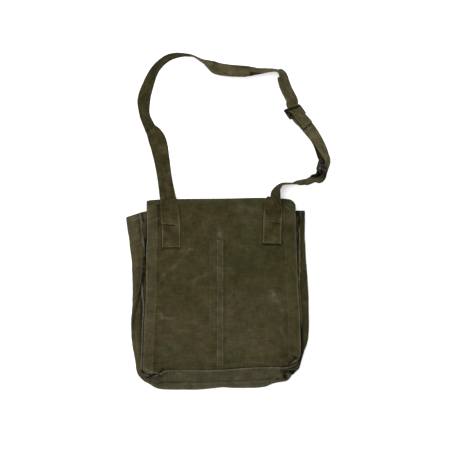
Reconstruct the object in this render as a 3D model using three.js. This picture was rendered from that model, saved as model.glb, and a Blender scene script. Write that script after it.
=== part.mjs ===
// A canvas shoulder bag lying flat, back panel up, with its strap laid out in a loop above it.
// Millimetres. X runs across the bag, Y up the bag towards the strap, Z up from the floor.
import * as THREE from 'three';

// Driving sizes
const CLOTH = 1.6; // thickness of the canvas
const GAP = 0.4; // clearance between pieces that lie on each other
const TUCK_GAP = 0.8; // clearance between the gusset's margins and the two panels
const PANEL_HEIGHT = 22; // height of the back panel's middle surface above the floor
const FLAP_END = -45; // where the flap's free edge lies under the bag
const HEM_WIDTH = 23; // turned hem down both sides of the back panel
const HEM_RISE = 0.9; // extra thickness of the turned hem
const HEM_STEP = 1.2; // width over which that thickness ends
const EDGE_COLUMNS = [0, 0.02, 0.045]; // columns next to the panel's side edges, as parts of its width
const CORNER_SHARE = 0.1; // part of the panel's length over which its sides leave the fold
const STRAP_WIDTH = 38;
const STRAP_THICKNESS = 1.6;
const STRIP_LEFT = -28.4; // centre strip
const STRIP_RIGHT = 2.1;
const STRIP_TOP = 95;
const STRIP_BOTTOM = -163;
const STRIP_THICKNESS = 1.2;
const SLIDE_LENGTH = 56; // metal slide, along its bars
const SLIDE_DEPTH = 25; // metal slide, across its bars
const SLIDE_THICKNESS = 2.2;
const SLIDE_CORNER = 4;
const SLIDE_SHIFT = 3; // the slide's middle from the strap's middle, across the strap
const SLOT_LENGTH = 40;
const SLOT_SHIFT = 0.3; // the slots' middle from the strap's middle
const SLOT_DEPTH = 5.6;
const MIDDLE_BAR = 7; // the slide's wide middle bar
const SLOT_CORNER = 0.8;

// Outline of the back panel, with the fold at its top
const FOLD_EDGE = [
  { x: -160, y: 175.5 },
  { x: -150, y: 177.4 },
  { x: -90, y: 179.8 },
  { x: 0, y: 179.8 },
  { x: 82, y: 181.6 },
  { x: 139, y: 179.4 },
  { x: 147, y: 176 },
  { x: 152, y: 170 },
  { x: 154, y: 165 },
];
const LEFT_EDGE = [
  { y: 180, x: -158.6 },
  { y: 88, x: -159.4 },
  { y: -10, x: -160.4 },
  { y: -52, x: -162.8 },
  { y: -101, x: -165.3 },
  { y: -155, x: -166.7 },
  { y: -190, x: -168.4 },
];
const RIGHT_EDGE = [
  { y: 180, x: 153.3 },
  { y: 141, x: 153.9 },
  { y: 63, x: 156.5 },
  { y: 0, x: 158.6 },
  { y: -52, x: 161.7 },
  { y: -115, x: 164 },
  { y: -141, x: 164.4 },
  { y: -154, x: 161.5 },
  { y: -163, x: 156 },
];
const BOTTOM_EDGE = [
  { x: -169, y: -178 },
  { x: -160, y: -187.6 },
  { x: -136, y: -187.2 },
  { x: -122, y: -179 },
  { x: -16, y: -177.7 },
  { x: 42, y: -172.8 },
  { x: 102, y: -171.2 },
  { x: 138, y: -171 },
  { x: 157, y: -161.7 },
];

// Broad dents and swells of the back panel
const DENTS = [
  { x: -70, y: 40, reach: 62, rise: -2.2 },
  { x: 70, y: 30, reach: 80, rise: -2.8 },
  { x: -95, y: -70, reach: 55, rise: 1.4 },
  { x: 65, y: -90, reach: 60, rise: -1.8 },
  { x: 120, y: -20, reach: 40, rise: 1.2 },
  { x: 146, y: -158, reach: 17, rise: -5 },
  { x: -146, y: -170, reach: 14, rise: -2.5 },
];
const BOTTOM_DROP = 4.5; // how far the panel dips into its bottom seam
const BOTTOM_REACH = 15;
const SIDE_DROP = 1.4; // how far it dips at its side edges
const SIDE_REACH = 9;

// Sections of the gusset, from the top of the left side round the bottom to the top of the right side:
// the panel's edge, the outermost point, how far out the seam fin and the fold lie, the fold's depth and
// the height of the outermost point
const GUSSET = [
  { x: -158.6, y: 156, outX: -200.8, outY: 141, fin: 15.5, fold: 26, dip: 0, rise: 9 },
  { x: -158.9, y: 124, outX: -197.8, outY: 120, fin: 11.6, fold: 22, dip: 0, rise: 9 },
  { x: -159.4, y: 88, outX: -193.6, outY: 86, fin: 6.2, fold: 12, dip: 2, rise: 9 },
  { x: -160, y: 48, outX: -189.4, outY: 48, fin: 3.4, fold: 8, dip: 4, rise: 9 },
  { x: -160.4, y: -10, outX: -187.5, outY: -10, fin: 8.4, fold: 14, dip: 4, rise: 9 },
  { x: -162.4, y: -46, outX: -188, outY: -46, fin: 3.4, fold: 18, dip: 4, rise: 9 },
  { x: -164.2, y: -80, outX: -190.5, outY: -80, fin: 3.2, fold: 21.5, dip: 3, rise: 8 },
  { x: -166, y: -126, outX: -188.4, outY: -122, fin: 3, fold: 15, dip: 0, rise: 8 },
  { x: -167, y: -160, outX: -181.6, outY: -162, fin: 3, fold: 8.5, dip: 0, rise: 8 },
  { x: -168.2, y: -178, outX: -178, outY: -184.5, fin: 2.6, fold: 6.2, dip: 0, rise: 7 },
  { x: -160.2, y: -187.6, outX: -163, outY: -202.5, fin: 2.6, fold: 8, dip: 0, rise: 6 },
  { x: -136, y: -187.2, outX: -139, outY: -215.5, fin: 2.6, fold: 22, dip: 2.5, rise: 4.6 },
  { x: -121, y: -179, outX: -117, outY: -218.6, fin: 2.6, fold: 30, dip: 3, rise: 4.6 },
  { x: -16, y: -177.7, outX: -16, outY: -215.6, fin: 2.6, fold: 32, dip: 3, rise: 4.6 },
  { x: 70, y: -172, outX: 70, outY: -213.6, fin: 2.6, fold: 33.5, dip: 3, rise: 4.6 },
  { x: 104, y: -171.2, outX: 100, outY: -206.6, fin: 2.6, fold: 29, dip: 3, rise: 5 },
  { x: 138, y: -171, outX: 133, outY: -197.5, fin: 2.8, fold: 12, dip: 6, rise: 7 },
  { x: 156.2, y: -162.6, outX: 158, outY: -174.2, fin: 2.8, fold: 8, dip: 2, rise: 9 },
  { x: 164.4, y: -141, outX: 169.4, outY: -141, fin: 2.4, fold: 5.2, dip: 0, rise: 10 },
  { x: 164, y: -115, outX: 178, outY: -115, fin: 2.6, fold: 9, dip: 0, rise: 10 },
  { x: 161.7, y: -52, outX: 179.6, outY: -52, fin: 2.6, fold: 10, dip: 0, rise: 10 },
  { x: 158.6, y: 0, outX: 177.8, outY: 0, fin: 2.6, fold: 10, dip: 0, rise: 10 },
  { x: 156.5, y: 63, outX: 173.2, outY: 63, fin: 2.6, fold: 10, dip: 0, rise: 10 },
  { x: 153.8, y: 153, outX: 172, outY: 155, fin: 3.2, fold: 10, dip: 0, rise: 10 },
];
const FIN_HALF = 2.6; // half the width of the pinched fin at its root
const FIN_DROP = 1.2; // the fin's crest below the panel's edge
const GROOVE_DROP = 5; // the grooves on both sides of the fin
const TUCK = 10; // how far the gusset's upper margin reaches under the panel
const FOOT = 20; // how far its lower margin reaches in over the front panel
const HEEL = 6; // where the gusset turns down onto that margin
const CORE_X = 90; // inner rectangle that both margins point towards
const CORE_Y = -100;
const SHOULDER = 2; // drop of the gusset's slope at its inner end
const BELLY_RISE = 1; // rise of the gusset between its fold and its outermost point
const GUSSET_STEPS = 3; // sections made between two rows

// Front panel
const FRONT_LEFT = -176;
const FRONT_RIGHT = 166;
const FRONT_TOP = 150;
const FRONT_BOTTOM = -204;
const FRONT_CORNER = 60;
const FRONT_EASE = 70; // length over which it comes down to the floor below the flap

// Route of the strap's middle line from the left sewn end to the lower slide. Roll is the turn about that
// line in degrees, 180 or 0 where the strap lies flat, and rest is the height of its lower edge.
const LONG_ROUTE = [
  { x: -107.9, y: 79, roll: 180, rest: 0 },
  { x: -108.4, y: 124, roll: 180, rest: 0 },
  { x: -111.7, y: 164, roll: 166, rest: 24.2 },
  { x: -113.8, y: 179, roll: 153, rest: 23 },
  { x: -121.6, y: 225, roll: 142, rest: 6 },
  { x: -128.2, y: 269, roll: 146, rest: 0.4 },
  { x: -137.4, y: 303, roll: 160, rest: 0.4 },
  { x: -153, y: 332, roll: 127, rest: 0.4 },
  { x: -163.2, y: 358, roll: 122, rest: 0.4 },
  { x: -164.8, y: 388, roll: 131, rest: 0.4 },
  { x: -157.4, y: 419, roll: 129, rest: 0.4 },
  { x: -139.4, y: 454.5, roll: 117, rest: 0.4 },
  { x: -110.3, y: 479, roll: 107, rest: 0.4 },
  { x: -70.4, y: 482, roll: 92, rest: 0.4 },
  { x: -39, y: 469.4, roll: 82, rest: 0.4 },
  { x: -11.5, y: 455.5, roll: 52, rest: 0.4 },
  { x: 45.2, y: 448.4, roll: 52, rest: 0.4 },
  { x: 72.5, y: 448, roll: 68, rest: 0.4 },
  { x: 104, y: 450, roll: 86, rest: 0.4 },
  { x: 122.4, y: 448.2, roll: 70, rest: 0.4 },
  { x: 128.2, y: 430, roll: 53, rest: 0.6 },
  { x: 142, y: 386, roll: 51, rest: 1.5 },
  { x: 146, y: 371, roll: 48, rest: 5 },
  { x: 156.6, y: 354.5, roll: 51, rest: 8 },
  { x: 176.2, y: 333.4, roll: 57, rest: 10 },
  { x: 199.6, y: 300.8, roll: 59, rest: 5 },
  { x: 208.4, y: 274, roll: 61, rest: 4 },
  { x: 209.6, y: 254, roll: 64, rest: 5 },
];
// The same line from the lower slide to the right sewn end
const SHORT_ROUTE = [
  { x: 203.5, y: 236, roll: 64, rest: 8 },
  { x: 182.5, y: 219.6, roll: 72, rest: 4.8 },
  { x: 141.8, y: 213, roll: 90, rest: 0.4 },
  { x: 122.4, y: 209, roll: 104, rest: 2 },
  { x: 113.4, y: 199, roll: 114, rest: 9 },
  { x: 109.6, y: 184, roll: 126, rest: 20 },
  { x: 107.7, y: 172, roll: 162, rest: 24.2 },
  { x: 105.8, y: 153, roll: 178, rest: 23 },
  { x: 104.8, y: 132, roll: 180, rest: 0 },
  { x: 103.5, y: 87, roll: 180, rest: 0 },
];
const UPPER_SLIDE_ROW = 22; // row of the long route at the upper slide's first bar
const STRAIGHT_REACH = 18; // the strap is straight this far on both sides of a slide's middle
const BLEND_REACH = 38; // and follows its route again this far out
const LAP_LONG = 42; // sewn lap of the long strap's end
const LAP_SHORT = 38; // sewn lap of the short strap's end
const LAP_EASE = 14; // length over which a layer settles onto the one under it
const RISE_EASE = 45; // length over which the strap rises onto the upper slide's first bar
const MARKS_PER_ROW = 40; // points at which the route's length is measured
const SMALL = 0.5; // length over which its direction is measured

const { clamp, lerp, smoothstep, degToRad } = THREE.MathUtils;

// Value of a table's column at a position along its key column, through all rows on a smooth curve
function along(table, key, column, at) {
  const rows = table[0][key] < table[table.length - 1][key] ? table : [...table].reverse();
  const last = rows.length - 1;
  const place = clamp(at, rows[0][key], rows[last][key]);
  let i = 0;
  while (i < last - 1 && rows[i + 1][key] < place) i += 1;
  const slope = (a, b) => (rows[b][column] - rows[a][column]) / (rows[b][key] - rows[a][key]);
  const middle = slope(i, i + 1);
  const meet = (a, b) => (a * b > 0 ? (2 * a * b) / (a + b) : 0);
  const start = i > 0 ? meet(slope(i - 1, i), middle) : middle;
  const finish = i < last - 1 ? meet(middle, slope(i + 1, i + 2)) : middle;
  const span = rows[i + 1][key] - rows[i][key];
  const t = (place - rows[i][key]) / span;
  const rest = 1 - t;
  return (
    rows[i][column] * (1 + 2 * t) * rest * rest +
    rows[i + 1][column] * t * t * (3 - 2 * t) +
    span * t * rest * (start * rest - finish * t)
  );
}

// Closed cloth solid round a grid of middle points: over and under are its thicknesses on the two faces
function clothSolid(grid, over, under) {
  const rows = grid.length;
  const columns = grid[0].length;
  const positions = [];
  const step = new THREE.Vector3();
  const cross = new THREE.Vector3();
  const face = (i, j, side) => {
    const before = grid[Math.max(i - 1, 0)][j];
    const after = grid[Math.min(i + 1, rows - 1)][j];
    step.subVectors(after, before);
    cross.subVectors(grid[i][Math.min(j + 1, columns - 1)], grid[i][Math.max(j - 1, 0)]);
    const normal = new THREE.Vector3().crossVectors(step, cross).normalize();
    return grid[i][j].clone().addScaledVector(normal, side);
  };
  for (let i = 0; i < rows; i += 1) {
    for (let j = 0; j < columns; j += 1) {
      positions.push(...face(i, j, over(i, j)).toArray());
    }
  }
  for (let i = 0; i < rows; i += 1) {
    for (let j = 0; j < columns; j += 1) {
      positions.push(...face(i, j, -under).toArray());
    }
  }
  const top = (i, j) => i * columns + j;
  const low = (i, j) => rows * columns + i * columns + j;
  const index = [];
  const quad = (a, b, c, d) => index.push(a, b, c, a, c, d);
  for (let i = 0; i < rows - 1; i += 1) {
    for (let j = 0; j < columns - 1; j += 1) {
      quad(top(i, j), top(i + 1, j), top(i + 1, j + 1), top(i, j + 1));
      quad(low(i, j), low(i, j + 1), low(i + 1, j + 1), low(i + 1, j));
    }
  }
  const right = columns - 1;
  for (let i = 0; i < rows - 1; i += 1) {
    quad(top(i + 1, 0), top(i, 0), low(i, 0), low(i + 1, 0));
    quad(top(i, right), top(i + 1, right), low(i + 1, right), low(i, right));
  }
  const end = rows - 1;
  for (let j = 0; j < columns - 1; j += 1) {
    quad(top(0, j), top(0, j + 1), low(0, j + 1), low(0, j));
    quad(top(end, j + 1), top(end, j), low(end, j), low(end, j + 1));
  }
  const geometry = new THREE.BufferGeometry();
  geometry.setAttribute('position', new THREE.Float32BufferAttribute(positions, 3));
  geometry.setIndex(index);
  geometry.computeVertexNormals();
  return geometry;
}

// Back panel
const bottomAt = (x) => along(BOTTOM_EDGE, 'x', 'y', x);
const foldAt = (x) => along(FOLD_EDGE, 'x', 'y', x);
const leftAt = (y) => along(LEFT_EDGE, 'y', 'x', y);
const rightAt = (y) => along(RIGHT_EDGE, 'y', 'x', y);
const FLAP_HEIGHT = CLOTH / 2;
const FOLD_RADIUS = (PANEL_HEIGHT - FLAP_HEIGHT) / 2;
const FOLD_BACK = FOLD_RADIUS + CLOTH / 2; // from the fold's outermost line to where the panel is level

// Height of the back panel's middle surface
function panelHeight(x, y) {
  let height = PANEL_HEIGHT;
  for (const dent of DENTS) {
    const far = Math.hypot(x - dent.x, y - dent.y) / dent.reach;
    height += dent.rise * Math.exp(-far * far);
  }
  const level = smoothstep(foldAt(x) - FOLD_BACK - y, 0, FOLD_BACK * 2);
  const fromSide = Math.min(x - leftAt(y), rightAt(y) - x);
  height -= BOTTOM_DROP * (1 - smoothstep(y - bottomAt(x), 0, BOTTOM_REACH));
  height -= SIDE_DROP * level * (1 - smoothstep(fromSide, 0, SIDE_REACH));
  return lerp(PANEL_HEIGHT, height, level);
}

function backAndFlap() {
  const mean = rightAt(0) - leftAt(0);
  const hem = HEM_WIDTH / mean;
  const stitch = (HEM_WIDTH + HEM_STEP) / mean;
  const inner = 14;
  const across = [...EDGE_COLUMNS, hem, stitch];
  for (let i = 1; i < inner; i += 1) across.push(lerp(stitch, 1 - stitch, i / inner));
  across.push(1 - stitch, 1 - hem, ...EDGE_COLUMNS.map((u) => 1 - u).reverse());
  const foldLeft = leftAt(FOLD_EDGE[0].y);
  const foldRight = rightAt(FOLD_EDGE[0].y);
  const flapRows = 4;
  const foldRows = 8;
  const panelRows = 24;
  const grid = [];
  const panelStart = flapRows + foldRows;
  for (let i = 0; i <= flapRows + foldRows + panelRows; i += 1) {
    grid.push(
      across.map((u) => {
        const foldX = lerp(foldLeft, foldRight, u);
        const axis = foldAt(foldX) - FOLD_BACK;
        if (i < flapRows) return new THREE.Vector3(foldX, lerp(FLAP_END, axis, i / flapRows), FLAP_HEIGHT);
        if (i < panelStart) {
          const turn = (Math.PI * (i - flapRows)) / foldRows;
          const y = axis + FOLD_RADIUS * Math.sin(turn);
          return new THREE.Vector3(foldX, y, FLAP_HEIGHT + FOLD_RADIUS * (1 - Math.cos(turn)));
        }
        const down = (i - panelStart) / panelRows;
        const foot = bottomAt(lerp(BOTTOM_EDGE[0].x, BOTTOM_EDGE[BOTTOM_EDGE.length - 1].x, u));
        const y = lerp(axis, foot, down);
        const x = lerp(leftAt(y), rightAt(y), u);
        return new THREE.Vector3(lerp(foldX, x, smoothstep(down, 0, CORNER_SHARE)), y, panelHeight(x, y));
      }),
    );
  }
  const hemColumns = EDGE_COLUMNS.length;
  const onHem = (j) => j <= hemColumns || j >= across.length - 1 - hemColumns;
  const hemmed = (i, j) => (i > panelStart && onHem(j) ? HEM_RISE : 0);
  return clothSolid(grid, (i, j) => CLOTH / 2 + hemmed(i, j), CLOTH / 2);
}

// Height of the front panel's middle surface: over the flap, then down to the floor below its edge
function frontHeight(y) {
  const clear = smoothstep(y, FLAP_END - FRONT_EASE, FLAP_END - CLOTH);
  return lerp(CLOTH / 2, CLOTH * 1.5 + GAP, clear);
}

function frontPanel() {
  const columns = 16;
  const rows = 14;
  const grid = [];
  for (let i = 0; i <= rows; i += 1) {
    const row = [];
    for (let j = 0; j <= columns; j += 1) {
      const x = lerp(FRONT_LEFT, FRONT_RIGHT, j / columns);
      const fromEnd = Math.min(x - FRONT_LEFT, FRONT_RIGHT - x);
      const inCorner = Math.max(FRONT_CORNER - fromEnd, 0);
      const foot = FRONT_BOTTOM + FRONT_CORNER - Math.sqrt(FRONT_CORNER ** 2 - inCorner ** 2);
      const y = lerp(FRONT_TOP, foot, i / rows);
      row.push(new THREE.Vector3(x, y, frontHeight(y)));
    }
    grid.push(row);
  }
  return clothSolid(grid, () => CLOTH / 2, CLOTH / 2);
}

// Point moved towards the inner rectangle of the bag
function inward(x, y, distance) {
  const from = new THREE.Vector2(x, y);
  const core = new THREE.Vector2(clamp(x, -CORE_X, CORE_X), Math.max(y, CORE_Y));
  return core.sub(from).setLength(distance).add(from);
}

// Middle points of one gusset section, from the margin under the back panel to the one over the front panel
function gussetSection(row) {
  const edge = new THREE.Vector2(row.x, row.y);
  const outer = new THREE.Vector2(row.outX, row.outY);
  const reach = edge.distanceTo(outer);
  const at = (distance) => edge.clone().lerp(outer, distance / reach);
  const edgeHeight = panelHeight(row.x, row.y) - CLOTH - TUCK_GAP;
  const slope = (distance) => lerp(edgeHeight - SHOULDER, row.rise, smoothstep(distance, 0, reach));
  const tuck = inward(row.x, row.y, TUCK);
  const heel = inward(row.outX, row.outY, HEEL);
  const foot = inward(row.outX, row.outY, FOOT);
  const margin = (point) => frontHeight(point.y) + CLOTH + TUCK_GAP;
  const belly = (row.fold + reach) / 2;
  const point = (place, height) => new THREE.Vector3(place.x, place.y, height);
  const finHeight = edgeHeight + CLOTH + TUCK_GAP - FIN_DROP;
  return [
    point(tuck, panelHeight(tuck.x, tuck.y) - CLOTH - TUCK_GAP),
    point(at(row.fin - FIN_HALF), edgeHeight - GROOVE_DROP / 2),
    point(at(row.fin), row.fin > FIN_HALF + CLOTH / 2 ? finHeight : edgeHeight),
    point(at(row.fin + FIN_HALF), edgeHeight - GROOVE_DROP),
    point(at(row.fold), slope(row.fold) - row.dip),
    point(at(belly), slope(belly) + BELLY_RISE),
    point(outer, row.rise),
    point(heel, margin(heel)),
    point(foot, margin(foot)),
  ];
}

function gusset() {
  const sections = GUSSET.map(gussetSection);
  const steps = GUSSET_STEPS * (GUSSET.length - 1);
  const rails = sections[0].map((_, k) => {
    const points = sections.map((section) => section[k]);
    return new THREE.CatmullRomCurve3(points, false, 'centripetal');
  });
  const grid = [];
  for (let i = 0; i <= steps; i += 1) grid.push(rails.map((rail) => rail.getPoint(i / steps)));
  return clothSolid(grid, () => CLOTH / 2, CLOTH / 2);
}

function centreStrip() {
  const rows = 24;
  const columns = 3;
  const lift = (CLOTH + STRIP_THICKNESS) / 2 + GAP;
  const grid = [];
  for (let i = 0; i <= rows; i += 1) {
    const row = [];
    for (let j = 0; j <= columns; j += 1) {
      const x = lerp(STRIP_LEFT, STRIP_RIGHT, j / columns);
      const y = lerp(STRIP_TOP, STRIP_BOTTOM, i / rows);
      row.push(new THREE.Vector3(x, y, panelHeight(x, y) + lift));
    }
    grid.push(row);
  }
  return clothSolid(grid, () => STRIP_THICKNESS / 2, STRIP_THICKNESS / 2);
}

// Height that the strap's lower edge rests on over the bag
function groundUnder(x, y) {
  const onPanel = y < foldAt(x) - FOLD_BACK && x > leftAt(y) && x < rightAt(y);
  return onPanel ? panelHeight(x, y) + CLOTH / 2 + GAP : 0;
}

// The strap's middle line, measured along its length, with its own axes at each point
class Route {
  constructor(rows) {
    this.rows = rows.map((row, i) => ({ ...row, i }));
    this.plan = new THREE.CatmullRomCurve3(
      rows.map((row) => new THREE.Vector3(row.x, row.y, 0)),
      false,
      'centripetal',
    );
    const samples = MARKS_PER_ROW * (rows.length - 1);
    this.marks = [];
    let length = 0;
    let before = null;
    for (let i = 0; i <= samples; i += 1) {
      const part = (i / samples) * (rows.length - 1);
      const point = this.pointAtRow(part);
      length += before ? point.distanceTo(before) : 0;
      before = point;
      this.marks.push({ part, length });
    }
    this.length = length;
    this.slides = [];
  }

  pointAtRow(part) {
    const point = this.plan.getPoint(part / (this.rows.length - 1));
    const roll = degToRad(along(this.rows, 'i', 'roll', part));
    const half = STRAP_WIDTH / 2;
    const flat = half * Math.abs(Math.cos(roll));
    const ground = Math.max(
      groundUnder(point.x - flat, point.y),
      groundUnder(point.x, point.y),
      groundUnder(point.x + flat, point.y),
    );
    const rest = Math.max(along(this.rows, 'i', 'rest', part), ground);
    point.z = rest + half * Math.abs(Math.sin(roll)) + (STRAP_THICKNESS / 2) * Math.abs(Math.cos(roll));
    return point;
  }

  lengthAtRow(part) {
    return along(this.marks, 'part', 'length', part);
  }

  // Keeps the strap straight through a slide whose middle lies at this length
  straightenAt(length) {
    const axes = this.axes(length);
    this.slides.push({ length, ...axes });
  }

  line(length) {
    const part = along(this.marks, 'length', 'part', length);
    const point = this.pointAtRow(part);
    let roll = degToRad(along(this.rows, 'i', 'roll', part));
    for (const slide of this.slides) {
      const far = Math.abs(length - slide.length);
      const hold = 1 - smoothstep(far, STRAIGHT_REACH, BLEND_REACH);
      const straight = slide.point.clone().addScaledVector(slide.ahead, length - slide.length);
      point.lerp(straight, hold);
      roll = lerp(roll, slide.roll, hold);
    }
    return { point, roll };
  }

  // Middle point and axes: ahead along the strap, wide across it and out of its upper face
  axes(length) {
    const place = clamp(length, SMALL, this.length - SMALL);
    const { roll } = this.line(place);
    const ahead = this.line(place + SMALL).point.sub(this.line(place - SMALL).point).normalize();
    const side = new THREE.Vector3().crossVectors(ahead, new THREE.Vector3(0, 0, 1)).normalize();
    const lift = new THREE.Vector3().crossVectors(side, ahead);
    const wide = side.multiplyScalar(Math.cos(roll)).addScaledVector(lift, Math.sin(roll));
    const out = new THREE.Vector3().crossVectors(wide, ahead);
    return { point: this.line(length).point, roll, ahead, wide, out };
  }

  // Row of points across the strap, shifted ahead and out of the middle line
  across(length, shift, height) {
    const { point, ahead, wide, out } = this.axes(length);
    const middle = point.addScaledVector(ahead, shift).addScaledVector(out, height);
    const half = STRAP_WIDTH / 2;
    return [-half, 0, half].map((offset) => middle.clone().addScaledVector(wide, offset));
  }
}

const route = new Route([...LONG_ROUTE, ...SHORT_ROUTE]);
const SLOT_EDGE = MIDDLE_BAR / 2 + SLOT_DEPTH; // inner edge of an outer bar from the slide's middle
const OUTER_BAR = SLIDE_DEPTH / 2 - SLOT_EDGE;
const UPPER_SLIDE = route.lengthAtRow(UPPER_SLIDE_ROW) + SLOT_EDGE + OUTER_BAR / 2;
const LOWER_SLIDE = route.lengthAtRow(LONG_ROUTE.length - 0.5);
route.straightenAt(UPPER_SLIDE);
route.straightenAt(LOWER_SLIDE);
const LAYER = STRAP_THICKNESS + GAP; // from one strap layer to the next
const CLEAR = GAP + STRAP_THICKNESS / 2; // from a bar's face to the strap's middle surface
const TURN = SLIDE_THICKNESS / 2 + CLEAR; // radius of the strap's tight turn round a bar
const LOOSE_TURN = TURN + 1.2; // radius of its turns at the lower slide
const UPPER_LIFT = LAYER + TURN; // the upper slide's middle above the strap's lowest layer
const STEP = 7; // length between two sections of a strap
const TURN_STEPS = 6;
const DIVE_STEPS = 4;

// Half turn round a bar, from one height to the next, ahead along the strap or back along it
function turnRound(length, height, way, radius) {
  const rows = [];
  for (let i = 1; i < TURN_STEPS; i += 1) {
    const angle = (Math.PI * i) / TURN_STEPS;
    rows.push(route.across(length, way * radius * Math.sin(angle), height + radius * (1 - Math.cos(angle))));
  }
  return rows;
}

// Run along the strap between two lengths, with its height over the lowest layer at each length
function run(from, to, height) {
  const steps = Math.ceil(Math.abs(to - from) / STEP);
  const rows = [];
  for (let i = 0; i <= steps; i += 1) {
    const length = lerp(from, to, i / steps);
    rows.push(route.across(length, 0, height(length)));
  }
  return rows;
}

// Way down through the upper slide's first slot: round the first bar's edge, then under the strap's own loop
function dive(edge, bar) {
  const rows = [];
  const quarter = (i) => (Math.PI / 2) * (i / DIVE_STEPS);
  for (let i = 1; i <= DIVE_STEPS; i += 1) {
    const height = UPPER_LIFT + SLIDE_THICKNESS / 2 + CLEAR * Math.cos(quarter(i));
    rows.push(route.across(edge, CLEAR * Math.sin(quarter(i)), height));
  }
  for (let i = 0; i < DIVE_STEPS; i += 1) {
    const shift = (CLEAR - SLOT_DEPTH) * Math.cos(quarter(i));
    rows.push(route.across(bar, shift, UPPER_LIFT * (1 - Math.sin(quarter(i)))));
  }
  return rows;
}

function strapLong() {
  const edge = UPPER_SLIDE - SLOT_EDGE;
  const bar = UPPER_SLIDE - MIDDLE_BAR / 2;
  const loop = LOWER_SLIDE - SLOT_EDGE;
  const onBar = edge - OUTER_BAR - STEP;
  const rise = (length) => (UPPER_LIFT + TURN) * smoothstep(length, onBar - RISE_EASE, onBar);
  const settle = (length) => smoothstep(loop - length, OUTER_BAR + STEP, OUTER_BAR + STEP + LAP_EASE);
  const rim = UPPER_SLIDE + SLIDE_DEPTH / 2 + STEP;
  const lap = (length) => lerp(UPPER_LIFT + TURN, 2 * LAYER, smoothstep(length, rim, rim + LAP_EASE));
  const rows = [
    ...run(0, edge, rise),
    ...dive(edge, bar),
    ...run(bar, loop, () => 0),
    ...turnRound(loop, 0, 1, LOOSE_TURN),
    ...run(loop, bar, (length) => lerp(2 * LOOSE_TURN, LAYER, settle(length))),
    ...turnRound(bar, LAYER, -1, TURN),
    ...run(bar, bar + LAP_LONG, lap),
  ];
  return clothSolid(rows, () => STRAP_THICKNESS / 2, STRAP_THICKNESS / 2);
}

function strapShort() {
  const loop = LOWER_SLIDE + SLOT_EDGE;
  const settle = (length) => smoothstep(length - loop, OUTER_BAR + STEP, OUTER_BAR + STEP + LAP_EASE);
  const rows = [
    ...run(route.length, loop, () => 0),
    ...turnRound(loop, 0, -1, LOOSE_TURN),
    ...run(loop, loop + LAP_SHORT, (length) => lerp(2 * LOOSE_TURN, LAYER, settle(length))),
  ];
  return clothSolid(rows, () => STRAP_THICKNESS / 2, STRAP_THICKNESS / 2);
}

function roundedRectangle(path, width, height, corner, x, y) {
  const left = x - width / 2;
  const right = x + width / 2;
  const top = y + height / 2;
  const low = y - height / 2;
  path.moveTo(left + corner, low);
  path.lineTo(right - corner, low);
  path.absarc(right - corner, low + corner, corner, -Math.PI / 2, 0);
  path.absarc(right - corner, top - corner, corner, 0, Math.PI / 2);
  path.absarc(left + corner, top - corner, corner, Math.PI / 2, Math.PI);
  path.absarc(left + corner, low + corner, corner, Math.PI, Math.PI * 1.5);
  return path;
}

// Flat metal slide with two slots, laid across the strap at a length and height
function slide(length, height) {
  const shape = roundedRectangle(new THREE.Shape(), SLIDE_LENGTH, SLIDE_DEPTH, SLIDE_CORNER, SLIDE_SHIFT, 0);
  for (const way of [-1, 1]) {
    const slot = new THREE.Path();
    const y = (way * (MIDDLE_BAR + SLOT_DEPTH)) / 2;
    shape.holes.push(roundedRectangle(slot, SLOT_LENGTH, SLOT_DEPTH, SLOT_CORNER, SLOT_SHIFT, y));
  }
  const geometry = new THREE.ExtrudeGeometry(shape, {
    depth: SLIDE_THICKNESS,
    bevelEnabled: false,
    curveSegments: 4,
  });
  geometry.translate(0, 0, -SLIDE_THICKNESS / 2);
  const { point, ahead, wide, out } = route.axes(length);
  const place = new THREE.Matrix4().makeBasis(wide, ahead, out);
  place.setPosition(point.addScaledVector(out, height));
  return { geometry, place };
}

const canvas = new THREE.MeshStandardMaterial({ name: 'canvas', color: 0x413d27, roughness: 0.95 });
const webbing = new THREE.MeshStandardMaterial({ name: 'webbing', color: 0x484229, roughness: 0.92 });
const metal = new THREE.MeshStandardMaterial({
  name: 'metal',
  color: 0x2a241f,
  roughness: 0.5,
  metalness: 0.8,
});

const bag = new THREE.Group();

function add(name, geometry, material) {
  const mesh = new THREE.Mesh(geometry, material);
  mesh.name = name;
  bag.add(mesh);
  return mesh;
}

add('back_and_flap', backAndFlap(), canvas);
add('front_panel', frontPanel(), canvas);
add('gusset', gusset(), canvas);
add('centre_strip', centreStrip(), canvas);
add('strap_long', strapLong(), webbing);
add('strap_short', strapShort(), webbing);
for (const [name, length, height] of [
  ['slide_upper', UPPER_SLIDE, UPPER_LIFT],
  ['slide_lower', LOWER_SLIDE, LOOSE_TURN],
]) {
  const { geometry, place } = slide(length, height);
  add(name, geometry, metal).applyMatrix4(place);
}

export default bag;
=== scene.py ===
"""Looks of a canvas shoulder bag lying flat, back panel up, with its strap laid out in a loop above it.

Shapes are worked out in millimetres in the part's own frame and written to meshes in metres.
"""

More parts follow.
